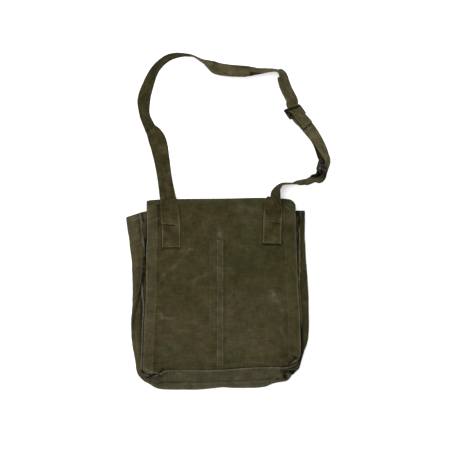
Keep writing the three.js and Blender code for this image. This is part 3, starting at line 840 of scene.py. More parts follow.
def seam_pucker(x, y):
    """Small gathers along the stitched lines of the panel."""
    seams = [
        x - left_at(y) - HEM_LEFT,
        right_at(y) - HEM_RIGHT - x,
        x - STRIP_RIGHT - STRIP_PUCKER,
        STRIP_LEFT - STRIP_PUCKER - x,
        y - bottom_at(x) - FOOT_PUCKER,
    ]
    return sum(bump(seam, PUCKER_REACH) for seam in seams) * panel_pucker(x * PUCKER_STRETCH, y)


def panel_relief(x, y):
    """Creases, ripples and gathers of the back panel."""
    loose = 1 - strap_shelter(x, y)
    small = RIPPLE_RISE * panel_ripple(x, y) + PUCKER_RISE * seam_pucker(x, y)
    return loose * (creased(PANEL_CREASES, x, y, "rise") + small)


hem_wander = ripples(13, 20, 25, 110)
HEM_WANDER = 0.5
LEFT_HEM_STEP = (-0.8, 0.9)  # from outside the hem's inner edge to inside it
RIGHT_HEM_STEP = (-2.5, 2.5)
FLAT_HEM = 0.55  # the right hem lies flatter than the left one


def hem_shares(x, y):
    """1 on the turned hems down the left and right sides of the panel."""
    strayed = x + HEM_WANDER * hem_wander(x * 0, y)
    left = smooth(left_at(y) + HEM_LEFT - strayed, *LEFT_HEM_STEP)
    right = smooth(strayed - right_at(y) + HEM_RIGHT, *RIGHT_HEM_STEP)
    return left, right


def hem_share(x, y):
    """Share of a full hem's thickness."""
    left, right = hem_shares(x, y)
    return np.maximum(left, FLAT_HEM * right)


def panel_top(x, y):
    """Height of the back panel's upper face."""
    return panel_height(x, y) + panel_relief(x, y) + CLOTH / 2 + HEM_RISE * hem_share(x, y)


CLOSE_STEPS = [0.5, 1.1, 2.0]
CLOSEST = 0.32


def graded(long, step, marks):
    """Places from 0 to long about a step apart, with closer ones next to the marks."""
    places = set(np.linspace(0, long, int(round(long / step)) + 1).round(3))
    for mark in marks:
        for offset in CLOSE_STEPS:
            places.update({round(mark - offset, 3), round(mark + offset, 3)})
    kept = []
    for place in sorted(p for p in places if 0 <= p <= long):
        if not kept or place - kept[-1] > CLOSEST:
            kept.append(place)
    kept[-1] = long
    return np.array(kept)


# Both hems are paler with wear; the left one's extra paleness over the right one is painted light
LEFT_HEM_WEAR_AND_LIGHT = 0.16
RIGHT_HEM_WEAR = 0.03
RIGHT_WEAR_TOP = 20  # the right edge is worn more below this height
RIGHT_WEAR_EASE = 30


def panel_looks(x, y, on_panel):
    """Wear, dirt, colours, and painted light and shade of the back panel; the flap has those along the fold
    alone.
    """
    from_fold = fold_at(x) - y
    from_right = right_at(y) - x
    hem_left, hem_right = hem_shares(x, y)
    paleness = line("side_wear", from_sides(x, y)) + LEFT_HEM_WEAR_AND_LIGHT * hem_left + RIGHT_HEM_WEAR * hem_right
    paleness += line("right_wear", from_right) * smooth(RIGHT_WEAR_TOP - y, 0, RIGHT_WEAR_EASE)
    paleness += creased(PANEL_CREASES, x, y, "pale")
    paleness += spotted(PANEL_SPOTS, x, y, "pale")
    # Darkening: dirt by the hems, the strip and the fold, painted shadow along the lower edge, painted shade
    # in the crease valleys and painted shadows by the strap ends
    hem_dirt = line("left_hem_dirt", x - left_at(y) - HEM_LEFT)
    hem_dirt += line("right_hem_dirt", from_right - HEM_RIGHT)
    hem_dirt *= uneven(patchy(x, y), mean=0.7, swing=0.5, least=0, most=1.4)
    beside_strip = smooth(STRIP_TOP + STRIP_DIRT_PAST - y, 0, STRIP_DIRT_EASE)
    darkening = hem_dirt + line("strip_dirt", x - STRIP_RIGHT) * beside_strip
    darkening += line("foot_shadow", y - bottom_at(x))
    darkening += line("fold_dirt", from_fold)
    darkening += creased(PANEL_CREASES, x, y, "dark")
    darkening += spotted(PANEL_SPOTS, x, y, "dark")
    darkening += strap_shadow(x, y)
    green = on_panel * spotted(PANEL_SPOTS, x, y, "green") + line("fold_green", from_fold)
    return {
        "pale": np.clip(on_panel * paleness + line("fold_wear", from_fold), 0, 1),
        "dark": np.clip(on_panel * darkening, 0, DARKEST),
        "green": np.clip(green, 0, 1),
        "rust": np.clip(on_panel * spotted(PANEL_SPOTS, x, y, "rust"), 0, 1),
    }


PANEL_STEP = 2.3
PANEL_LONG = 350  # about the length from the fold to the lower edge
FLAP_STEPS = 45
FOLD_STEPS = 18


def build_panel():
    mean = right_at(0.0) - left_at(0.0)
    columns = graded(mean, PANEL_STEP, [0, HEM_LEFT, mean - HEM_RIGHT, mean]) / mean
    fold_x = mix(left_at(FOLD_EDGE["y"][0]), right_at(FOLD_EDGE["y"][0]), columns)
    axis = fold_at(fold_x) - FOLD_BACK
    sections = []
    for part in np.linspace(0, 1, FLAP_STEPS + 1)[:-1]:
        sections.append((fold_x, mix(FLAP_END, axis, part), np.full_like(axis, FLAP_HEIGHT)))
    for turn in np.linspace(0, np.pi, FOLD_STEPS + 1)[:-1]:
        z = np.full_like(axis, FLAP_HEIGHT + FOLD_RADIUS * (1 - np.cos(turn)))
        sections.append((fold_x, axis + FOLD_RADIUS * np.sin(turn), z))
    flap_rows = len(sections)
    foot = bottom_at(mix(BOTTOM_EDGE["x"][0], BOTTOM_EDGE["x"][-1], columns))
    for part in graded(PANEL_LONG, PANEL_STEP, [PANEL_LONG]) / PANEL_LONG:
        y = mix(axis, foot, part)
        x = mix(left_at(y), right_at(y), columns)
        sections.append((mix(fold_x, x, smooth(part, 0, CORNER_SHARE)), y, panel_height(x, y)))
    grid = np.moveaxis(np.array(sections), 1, -1)
    x, y = grid[..., 0], grid[..., 1]
    on_panel = np.zeros(x.shape)
    on_panel[flap_rows:] = 1
    looks = panel_looks(x, y, on_panel)
    extra = HEM_RISE * on_panel * hem_share(x, y)
    grid[..., 2] += on_panel * panel_relief(x, y)
    piece = add_cloth("back_panel", "back_and_flap", grid, CLOTH, looks, CANVAS, "canvas", extra)


build_panel()

# Front panel

FRONT_STEP = 4.5
FRONT_RIPPLE = 0.12
front_ripple = ripples(21, 30, 20, 90)


def front_height(y):
    clear = smooth(y, FLAP_END - FRONT_EASE, FLAP_END - CLOTH)
    return mix(CLOTH / 2, CLOTH * 1.5 + GAP, clear)


def build_front():
    wide = FRONT_RIGHT - FRONT_LEFT
    across = graded(wide, FRONT_STEP, [0, wide]) + FRONT_LEFT
    from_end = np.minimum(across - FRONT_LEFT, FRONT_RIGHT - across)
    in_corner = np.maximum(FRONT_CORNER - from_end, 0)
    foot = FRONT_BOTTOM + FRONT_CORNER - np.sqrt(FRONT_CORNER ** 2 - in_corner ** 2)
    long = FRONT_TOP - FRONT_BOTTOM
    y = mix(FRONT_TOP, foot, graded(long, FRONT_STEP, [0, long])[:, None] / long)
    x = np.broadcast_to(across, y.shape)
    z = front_height(y) + FRONT_RIPPLE * (1 + np.tanh(front_ripple(x, y)))
    looks = {"pale": line("front_wear", np.minimum(from_end, y - foot))}
    grid = np.stack([x, y, z], axis=-1)
    piece = add_cloth("front_panel_cloth", "front_panel", grid, CLOTH, looks, CANVAS, "canvas")


build_front()

# Gusset

FLAT_FOOT = (150, 175)  # where the grooves beside the fin get flat: towards the bottom
FLAT_RIGHT = (100, 140)  # and towards the right
FLAT_ABOVE = (-110, -60)  # above its lower corner


def core_of(x, y):
    """Nearest point of the inner rectangle of the bag."""
    return np.stack([np.clip(x, -CORE_X, CORE_X), np.maximum(y, CORE_Y)], axis=-1)


def inward(point, distance):
    """Point moved towards the inner rectangle of the bag."""
    return point + unit(core_of(*point) - point) * distance


def gusset_section(k):
    """Middle points of one gusset section, from the margin under the back panel to the one over the front."""
    row = {name: float(GUSSET[name][k]) for name in GUSSET}
    edge = np.array([row["x"], row["y"]])
    outer = np.array([row["out_x"], row["out_y"]])
    reach = np.linalg.norm(outer - edge)
    edge_height = float(panel_height(*edge)) - CLOTH - TUCK_GAP
    tuck = inward(edge, TUCK)
    heel = inward(outer, HEEL)
    foot = inward(outer, FOOT)
    belly = (row["fold"] + reach) / 2

    def at(distance):
        return mix(edge, outer, distance / reach)

    def slope(distance):
        return mix(edge_height - SHOULDER, row["rise"], smooth(distance, 0, reach))

    def margin(place):
        return float(front_height(place[1])) + CLOTH + TUCK_GAP

    crest = edge_height + CLOTH + TUCK_GAP - FIN_DROP
    flat_side = smooth(row["x"], *FLAT_RIGHT) * smooth(row["y"], *FLAT_ABOVE)
    groove = mix(GROOVE_DROP, FLAT_GROOVE_DROP, max(smooth(-row["y"], *FLAT_FOOT), flat_side))
    points = [
        (tuck, float(panel_height(*tuck)) - CLOTH - TUCK_GAP),
        (at(row["fin"] - FIN_HALF), edge_height - groove / 2),
        (at(row["fin"]), crest if row["fin"] > FIN_HALF + CLOTH / 2 else edge_height),
        (at(row["fin"] + FIN_HALF), edge_height - groove),
        (at(row["fold"]), slope(row["fold"]) - row["dip"]),
        (at(belly), slope(belly) + BELLY_RISE),
        (outer, row["rise"]),
        (heel, margin(heel)),
        (foot, margin(foot)),
    ]
    return [(*place, height) for place, height in points]


# Creases of the gusset, in plan: ridges rise and are paler, worn and with painted highlights, and valleys
# fall and are darker with painted shade
GUSSET_CREASES = table("x0 y0 x1 y1 width rise pale dark", """
-173.6 149 -169.5 130 1.4 1.2 1.5 0
-169 148 -167 132 1.8 -1.0 0 0.9
-171 130 -170.6 100 1.6 0.8 0.4 0
-173.4 132 -172.8 92 1.4 -0.6 0 0.5
-166 130 -165.6 100 1.6 0.6 0.3 0
-171 98 -165 82 1.5 1.2 1.6 0
-163 92 -162 56 2.4 -1.0 0 0.7
-162.8 57 -167 8 1.7 -1.6 0 0.95
-167 8 -174 -20 1.8 -1.6 0 0.8
-174 -20 -181 -48 1.9 -1.6 0 0.85
-181 -48 -188 -78 2.0 -1.2 0 0.55
-168.6 40 -171.5 8 2.2 0.6 0.25 0
-171.5 8 -178.5 -20 2.2 0.6 0.3 0
-180 118 -184 96 3.5 0.8 0.25 0
-192 116 -178 92 4 -0.7 0 0.12
-186 80 -180 20 5 0.5 0.1 0
-184 -100 -178 -146 4 0.6 0.15 0
-174 -52 -173 -105 1.8 0.5 0.4 0
-176 -176 -158 -200 2.0 1.0 0.6 0
-170 -180 -160 -190.5 2.4 -1.4 0 0.95
-160 -195 -149 -190.5 1.8 -1.0 0 0.85
-149 -190.5 -133 -190 1.8 -1.0 0 0.85
-158 -200 -144 -207 1.8 -0.8 0 0.5
-164 -197 -148 -210 1.8 0.8 0.5 0
-132 -187 -122 -178.5 1.8 1.6 0.9 0
-130 -194 -120 -184 2.2 -1.2 0 0.4
-97 -188 -93 -186 2.2 0.9 0.6 0
127 -176 132 -193 4.0 -2.0 0 0.9
133 -181 139 -192 1.6 1.0 0.3 0
136 -182 148 -184 3.0 -1.4 0 0.9
137 -177 147 -178 1.8 1.4 1.0 0
147 -178 157 -174 1.8 1.4 0.8 0
146 -186 160 -177 2.6 -1.0 0 0.8
116 -199 134 -197 2.4 -0.8 0 0.7
164.8 153 165.2 138 1.4 1.0 1.1 0
158.5 155 159.5 135 4.5 -0.8 0 0.85
168 155 168.6 138 2.6 -0.6 0 0.6
161.9 120 161.9 28 1.4 0.6 1.4 0
161.8 28 160.4 5 1.3 0.3 0.9 0
158.6 134 159 48 1.4 -0.5 0 0.75
159 48 159.8 16 1.2 -0.5 0 0.6
165.4 120 165.6 60 1.8 -0.4 0 0.35
170 -36 172 -40 3 0.5 0.35 0
""")
# Look of the gusset from section to section: its paler cloth, also painted light on the left side and the
# bottom, its painted shade on the right side, the pale crest of its seam, worn and with a painted highlight,
# and the painted shade in the grooves outside and inside the crest
GUSSET_LOOK = table("section pale shade glow outer inner", """
0 0.16 0 0.9 0.3 0.1
0.7 0.16 0 0.7 0.3 0.15
1 0.16 0 0.15 0.15 0.2
1.75 0.16 0 0.2 0.1 0.5
1.9 0.16 0 0.9 0.2 0.8
2.15 0.16 0 0.8 0.1 0.85
2.35 0.16 0 0.1 0.2 0.7
3.5 0.14 0 0 0.2 0.1
3.8 0.14 0 0.1 0.7 0.1
3.93 0.14 0 0.95 0.85 0.15
4.7 0.14 0 0.8 0.8 0.3
5.85 0.14 0 0.6 0.8 0.6
6.65 0.14 0 0.55 0.6 0.7
7.4 0.12 0 0.5 0.4 0.5
8.85 0.12 0 0.7 0.3 0.6
10 0.24 0 0.8 0.45 0.7
11 0.3 0 0.7 0.45 0.8
12 0.37 0 0.45 0.15 0.8
15.5 0.37 0 0.45 0.15 0.8
17 0.1 0.2 0.5 0.5 0.8
18 0 0.2 0.3 0.4 0.7
19.1 0 0.16 0.3 0.3 0.7
19.5 0 0.2 0.3 0.3 0.5
19.8 0 0.18 0.3 0.05 0.1
23 0 0.18 0.1 0.05 0.1
""")
gusset_ripple = ripples(31, 40, 10, 50)
SIDE_RIPPLE = 0.28
BOTTOM_RIPPLE = 0.12
ROWS_PER_SECTION = 12
COLUMNS_PER_PART = 8
FIN_PART = 2
OUTER_PART = 6
LAST_PART = 8
SHOWN_FROM = (1, 2)  # parts between which the gusset comes out from under the panel
SHOWN_TO = (5.5, 6.6)  # and turns under
TOP_HEM = 10
TOP_HEM_EASE = 0.8
TOP_HEM_RISE = 0.5
TOP_HEM_WEAR = 0.12
BOTTOM_BAND = (176, 186)  # how far down the gusset's bottom begins
SIDE_BAND = (-168, -158)  # and how far up its sides begin
SEAM_LEFT = (-146, -130)  # ends of the stretch where its bottom fold is dark
SEAM_RIGHT = (100, 112)
TUCK_SHADE = 0.12  # shade under the panel's edge
TUCK_EASE = 0.6
LEFT_SHADE = 0.35  # share of the left shadow that is left low down
LEFT_SHADE_RISE = (25, 50)
LEFT_SHADE_LOSS = 0.2  # and what it loses high up
LEFT_SHADE_FALL = (92, 108)
RIGHT_SHADE = (70, 100)  # how far down the right shadow begins
FAR_OUT = (100, 160)
GUSSET_GREEN = 0.4
GUSSET_RUST = 0.08
GUSSET_PALEST = 1.5
GUSSET_DARKEST = 0.95


def gusset_looks(x, y, part, steps, from_end, top_hem):
    look = {name: along(GUSSET_LOOK, "section", name, steps)[:, None] for name in GUSSET_LOOK}
    on_bottom = smooth(-y, *BOTTOM_BAND)
    on_side = smooth(y, *SIDE_BAND)
    top_seams = line("top_seam", from_end - TOP_HEM) + line("top_middle_seam", from_end - TOP_HEM / 2)
    pale = look["pale"] + look["glow"] * line("fin_wear_and_highlight", part) + line("lip_wear", part)
    pale += TOP_HEM_WEAR * top_hem
    pale += line("top_wear", from_end)
    pale += top_seams * (x < 0)
    pale += creased(GUSSET_CREASES, x, y, "pale", GUSSET_BEND)
    by_left = line("left_shadow", left_at(y) - x) + TUCK_SHADE * smooth(FIN_PART - part, 0, TUCK_EASE)
    left_share = mix(LEFT_SHADE, 1, smooth(y, *LEFT_SHADE_RISE))
    left_share -= LEFT_SHADE_LOSS * smooth(y, *LEFT_SHADE_FALL)
    by_right = line("right_shadow", x - right_at(y)) * smooth(-y, *RIGHT_SHADE)
    seam = line("bottom_fold", part) * on_bottom * smooth(x, *SEAM_LEFT) * (1 - smooth(x, *SEAM_RIGHT))
    # painted shade in the grooves beside the seam's crest
    groove_shade = look["inner"] * line("inner_groove_shade", part) + look["outer"] * line("outer_groove_shade", part)
    dark = look["shade"] + groove_shade + seam + line("top_hem_dirt", from_end - TOP_HEM)
    dark += creased(GUSSET_CREASES, x, y, "dark", GUSSET_BEND)
    dark += on_side * np.where(x < 0, by_left * left_share, by_right)
    return {
        "pale": np.clip(pale, 0, GUSSET_PALEST),
        "dark": np.clip(dark, 0, GUSSET_DARKEST),
        "green": GUSSET_GREEN * np.maximum(smooth(x, *FAR_OUT), on_bottom),
        "rust": GUSSET_RUST * smooth(-x, *FAR_OUT),
    }


def build_gusset():
    count = len(GUSSET["x"])
    sections = np.array([gusset_section(k) for k in range(count)])
    steps = np.linspace(0, count - 1, (count - 1) * ROWS_PER_SECTION + 1)
    marks = np.linspace(0, LAST_PART, LAST_PART * COLUMNS_PER_PART + 1)
    grid = np.moveaxis(through(np.moveaxis(through(sections, steps), 1, 0), marks), 0, 1)
    x, y = grid[..., 0], grid[..., 1]
    part = np.broadcast_to(marks, x.shape)
    swell = (SWELL + spotted(BULGES, x, y, "out")) * smooth(part, FIN_PART, OUTER_PART)
    swell *= 1 - smooth(part, OUTER_PART, LAST_PART)
    grid[..., :2] += unit(grid[..., :2] - core_of(x, y)) * swell[..., None]
    shown = smooth(part, *SHOWN_FROM) * (1 - smooth(part, *SHOWN_TO))
    ripple = mix(SIDE_RIPPLE, BOTTOM_RIPPLE, smooth(-y, *BOTTOM_BAND)) * gusset_ripple(x, y)
    lift = shown * (creased(GUSSET_CREASES, x, y, "rise", GUSSET_BEND) + ripple)
    shaped = grid + cloth_normals(grid) * lift[..., None]
    outer = OUTER_PART * COLUMNS_PER_PART
    ahead = lengths(shaped[:, outer: outer + 1], 0)
    from_end = np.minimum(ahead, ahead[-1] - ahead)
    top_hem = smooth(TOP_HEM - from_end, 0, TOP_HEM_EASE)
    looks = gusset_looks(x, y, part, steps, from_end, top_hem)
    extra = TOP_HEM_RISE * top_hem
    rims = {"ends": [0.7, 1.0], "sides": [0.6, 0.9]}
    piece = add_cloth("gusset_cloth", "gusset", shaped, CLOTH, looks, CANVAS, "canvas", extra, **rims)


build_gusset()

# Centre strip

STRIP_SEAM = 13  # width of the folded seam along the strip's right side
STRIP_SEAM_RISE = 0.5
STRIP_SEAM_STEP = (-0.6, 0.4)
STRIP_SEAM_WEAR = 0.16
STRIP_WEAR = 0.08
STRIP_RIPPLE = 0.12
STRIP_FADE_ACROSS = 0.2
STRIP_FADE_AHEAD = 0.5
STRIP_STEP_ACROSS = 1.5
STRIP_STEP_AHEAD = 2.2
strip_ripple = ripples(41, 30, 8, 40)


def build_strip():
    wide = STRIP_RIGHT - STRIP_LEFT
    long = STRIP_TOP - STRIP_BOTTOM
    across = graded(wide, STRIP_STEP_ACROSS, [0, wide - STRIP_SEAM, wide]) + STRIP_LEFT
    x, y = np.meshgrid(across, STRIP_TOP - graded(long, STRIP_STEP_AHEAD, [0, long]))
    lift = (CLOTH + STRIP_THICKNESS) / 2 + GAP
    z = panel_height(x, y) + panel_relief(x, y) + lift + STRIP_RIPPLE * strip_ripple(x, y)
    from_seam = x - STRIP_RIGHT + STRIP_SEAM
    seam = smooth(from_seam, *STRIP_SEAM_STEP)
    fade = strip_ripple(x * STRIP_FADE_ACROSS, y * STRIP_FADE_AHEAD)
    fade = uneven(fade, mean=0.6, swing=0.4, least=0, most=1.4)
    lines = line("strip_right_line", x - STRIP_RIGHT) + line("strip_seam_line", from_seam)
    pale = STRIP_WEAR + line("strip_edge_wear", np.minimum(x - STRIP_LEFT, STRIP_RIGHT - x))
    pale += (STRIP_SEAM_WEAR * seam + lines) * fade
    pale += line("strip_pale", y)
    pale -= line("strip_dull", y)
    darkening = line("strip_seam_dirt", from_seam)
    looks = {"pale": np.clip(pale, 0, 1), "dark": darkening, "green": line("strip_green", y)}
    grid = np.stack([x, y, z], axis=-1)
    thickness = STRIP_THICKNESS
    extra = STRIP_SEAM_RISE * seam
    piece = add_cloth("centre_strip_cloth", "centre_strip", grid, thickness, looks, CANVAS, "canvas", extra)


build_strip()

# Strap


def ground_under(x, y):
    on_panel = (y < fold_at(x) - FOLD_BACK) & (x > left_at(y)) & (x < right_at(y))
    return np.where(on_panel, panel_height(x, y) + CLOTH / 2 + GAP, 0)


class Route:
    """The strap's middle line, measured along its length, with its own axes at each point."""

    def __init__(self, rows):
        count = len(rows["x"])
        self.rows = {**rows, "i": np.arange(count, dtype=float)}
        self.plan = np.stack([rows["x"], rows["y"]], axis=-1)
        self.marks = np.linspace(0, count - 1, MARKS_PER_ROW * (count - 1) + 1)
        self.measured = lengths(self.point_at_row(self.marks), 0)
        self.length = self.measured[-1]
        self.slides = []

    def roll_at_row(self, part):
        return np.radians(along(self.rows, "i", "roll", part))

    def point_at_row(self, part):
        x, y = through(self.plan, part).T
        roll = self.roll_at_row(part)
        flat = STRAP_HALF * np.abs(np.cos(roll))
        ground = np.max([ground_under(x + shift, y) for shift in (-flat, 0, flat)], axis=0)
        rest = np.maximum(along(self.rows, "i", "rest", part), ground)
        z = rest + STRAP_HALF * np.abs(np.sin(roll)) + STRAP_THICKNESS / 2 * np.abs(np.cos(roll))
        return np.stack([x, y, z], axis=-1)

    def length_at_row(self, part):
        return float(np.interp(part, self.marks, self.measured))

    def line(self, length):
        part = np.interp(length, self.measured, self.marks)
        point = self.point_at_row(part)
        roll = self.roll_at_row(part)
        for middle, start, ahead, slide_roll in self.slides:
            hold = 1 - smooth(np.abs(length - middle), STRAIGHT_REACH, BLEND_REACH)
            straight = start + ahead * (length - middle)[:, None]
            point = mix(point, straight, hold[:, None])
            roll = mix(roll, slide_roll, hold)
        return point, roll

    def axes(self, length):
        """Middle points, and the directions along the strap, across it and out of its upper face."""
        place = np.clip(length, SMALL, self.length - SMALL)
        _, roll = self.line(place)
        ahead = unit(self.line(place + SMALL)[0] - self.line(place - SMALL)[0])
        side = unit(np.cross(ahead, UP))
        lift = np.cross(side, ahead)
        wide = side * np.cos(roll)[:, None] + lift * np.sin(roll)[:, None]
        return self.line(length)[0], ahead, wide, np.cross(wide, ahead), roll

    def straighten_at(self, length):
        """Keeps the strap straight through a slide whose middle lies at this length."""
        point, ahead, _, _, roll = self.axes(np.array([length]))
        self.slides.append((length, point[0], ahead[0], roll[0]))


route = Route(ROUTE)
SLOT_EDGE = MIDDLE_BAR / 2 + SLOT_DEPTH
OUTER_BAR = SLIDE_DEPTH / 2 - SLOT_EDGE
UPPER_SLIDE = route.length_at_row(UPPER_SLIDE_ROW) + SLOT_EDGE + OUTER_BAR / 2
LOWER_SLIDE = route.length_at_row(LONG_ROWS - 0.5)
route.straighten_at(UPPER_SLIDE)
route.straighten_at(LOWER_SLIDE)
LAYER = STRAP_THICKNESS + GAP
CLEAR = GAP + STRAP_THICKNESS / 2
TURN = SLIDE_THICKNESS / 2 + CLEAR
SLACK = 1.2  # of the loops in the lower slide
LOOSE_TURN = TURN + SLACK
UPPER_LIFT = LAYER + TURN
LAP_END = UPPER_SLIDE - MIDDLE_BAR / 2 + LAP_LONG
STEP = 7
FINE_STEP = 2.2
TURN_STEPS = 10
DIVE_STEPS = 8


def turn_round(length, height, way, radius):
    """Stations of a half turn round a bar: length, shift ahead and height."""
    angle = np.pi * np.arange(1, TURN_STEPS) / TURN_STEPS
    shift = way * radius * np.sin(angle)
    return [(length, s, h) for s, h in zip(shift, height + radius * (1 - np.cos(angle)))]


def dive(edge, bar):
    """Stations down through the upper slide's first slot, round its bar and under the strap's own loop."""
    quarter = np.pi / 2 * np.arange(DIVE_STEPS + 1) / DIVE_STEPS
    round_bar = UPPER_LIFT + SLIDE_THICKNESS / 2 + CLEAR * np.cos(quarter)
    stations = [(edge, CLEAR * np.sin(a), h) for a, h in zip(quarter[1:], round_bar[1:])]
    for a in quarter[:-1]:
        stations.append((bar, (CLEAR - SLOT_DEPTH) * np.cos(a), UPPER_LIFT * (1 - np.sin(a))))
    return stations


def run(start, stop, height=lambda length: 0.0):
    """Stations along the strap between two lengths."""
    count = int(np.ceil(abs(stop - start) / FINE_STEP))
    return [(length, 0.0, float(height(length))) for length in np.linspace(start, stop, count + 1)]


def settled(distance, ease):
    """Height of a returning layer over the lower one, at a distance from the bar that it turns round."""
    return mix(2 * LOOSE_TURN, LAYER, smooth(distance, OUTER_BAR + STEP, OUTER_BAR + STEP + ease))


# Creases across the strap: place by length, slant, the side of the strap they are on (0 for both), width,
# rise, wear, and dark, which is painted shade in the valleys
LONG_CREASES = table("at slant side width rise pale dark", """
46.5 2.6 0.5 1.1 -0.9 0 0.95
49.5 2.6 0.5 1.6 0.5 0.25 0
66 2.0 0 6 0.3 0.05 0
262 1.0 0 2.4 -0.4 0 0.4
258 1.0 0 2.4 0.3 0.2 0
470 3.0 0 3 -0.4 0 0.25
520 -4.0 0 3 0.4 0.25 0
530 -4.0 0 3.5 -0.4 0 0.25
606 3.0 0 3 -0.5 0 0.35
655 2.0 0 2.4 0.4 0.3 0
""")
SHORT_CREASES = table("at slant side width rise pale dark", """
45 -4.0 1 1.3 -0.7 0 0.6
48 -4.0 1 1.3 0.5 0.6 0
51 -4.0 1 1.6 -0.5 0 0.5
70 2.0 1 9 -0.2 0 0.3
""")
# Dirt and rust on the strap, by length along its route and place across it
LONG_SPOTS = table("x y reach dark rust", [
    (route.length_at_row(20.8), -2, 7, 0.1, 0.4),
    (UPPER_SLIDE + 16, 3, 6, 0.1, 0.4),
])
SHORT_SPOTS = table("x y reach dark rust", [
    (route.length - 60, 10, 8, 0.2, 0),
    (route.length_at_row(LONG_ROWS + 5.6), 0, 24, 0.32, 0),
    (route.length_at_row(LONG_ROWS + 2.8), 0, 5, 0.5, 0),
])
CUP = 2.6  # hollow across the strap where it stands on edge
CUP_REACH = 13
LEAN = 3.4  # how far the lower layer of the doubled run shows beside the upper one
LEAN_BACK = 36
LEAN_REACH = 24
# painted shadow on the edge of the lower layer where it shows beside the upper one
LEAN_SHADOW = 0.95
LEAN_SHADOW_FROM = (10, 13)
GATHER = 0.5  # how much narrower the strap is where it is gathered in the lower slide
GATHER_REACH = 22
FOLD_START = route.length_at_row(16.4)
FOLD_LONG = 25
FOLD_FROM = -1.0  # where across the strap the opening under the folded edge begins
FOLD_SOFT = 1.0
FOLD_ENDS = 0.1  # share of its length over which it opens and closes
FOLD_SIDE = (2, 8)  # how far across the wear beside the folded edge begins
CREASE_SIDE = -9  # where a crease on one side of the strap ends
CREASE_STRAY = 0.6
STRAP_RIPPLE = 0.1
EDGE_WEAR_REACH = 74  # length of the worn edges at the sewn ends
EDGE_WEAR_EASE = 10
FADED_AND_LIT_FACE = 0.42  # the strap's outer face is paler than its inner one, faded and with painted light
FADED_AND_LIT_DOUBLE = 0.26  # and its doubled stretch is paler still, faded and with painted light
DOUBLE_START = UPPER_SLIDE + 20
DOUBLE_FULL = UPPER_SLIDE + 60
STAIN = 0.1
STAIN_RUST = 0.04
strap_ripple = ripples(51, 36, 7, 45)
strap_stain = ripples(52, 40, 9, 60)
ACROSS = np.array([-19, -18.6, -18, -17, -15, -12, -8, -4, 0, 4, 8, 12, 15, 17, 18, 18.6, 19])


def backward_share(length):
    """0 where stations follow the route, 1 where they run back along it, turning over between the two."""
    index = np.arange(len(length))
    change = np.gradient(length)
    moving = np.abs(change) > SMALL
    return np.interp(index, index[moving], change[moving] < 0)[:, None]


def folded_edge(length, across):
    """1 in the opening under the folded edge of the strap's top run, painted dark as its shade; a wedge that
    narrows along it.
    """
    part = (length - FOLD_START) / FOLD_LONG
    opening = smooth(across - mix(FOLD_FROM, STRAP_HALF, part), -FOLD_SOFT, FOLD_SOFT)
    return opening * smooth(part, 0, FOLD_ENDS) * smooth(1 - part, 0, FOLD_ENDS)


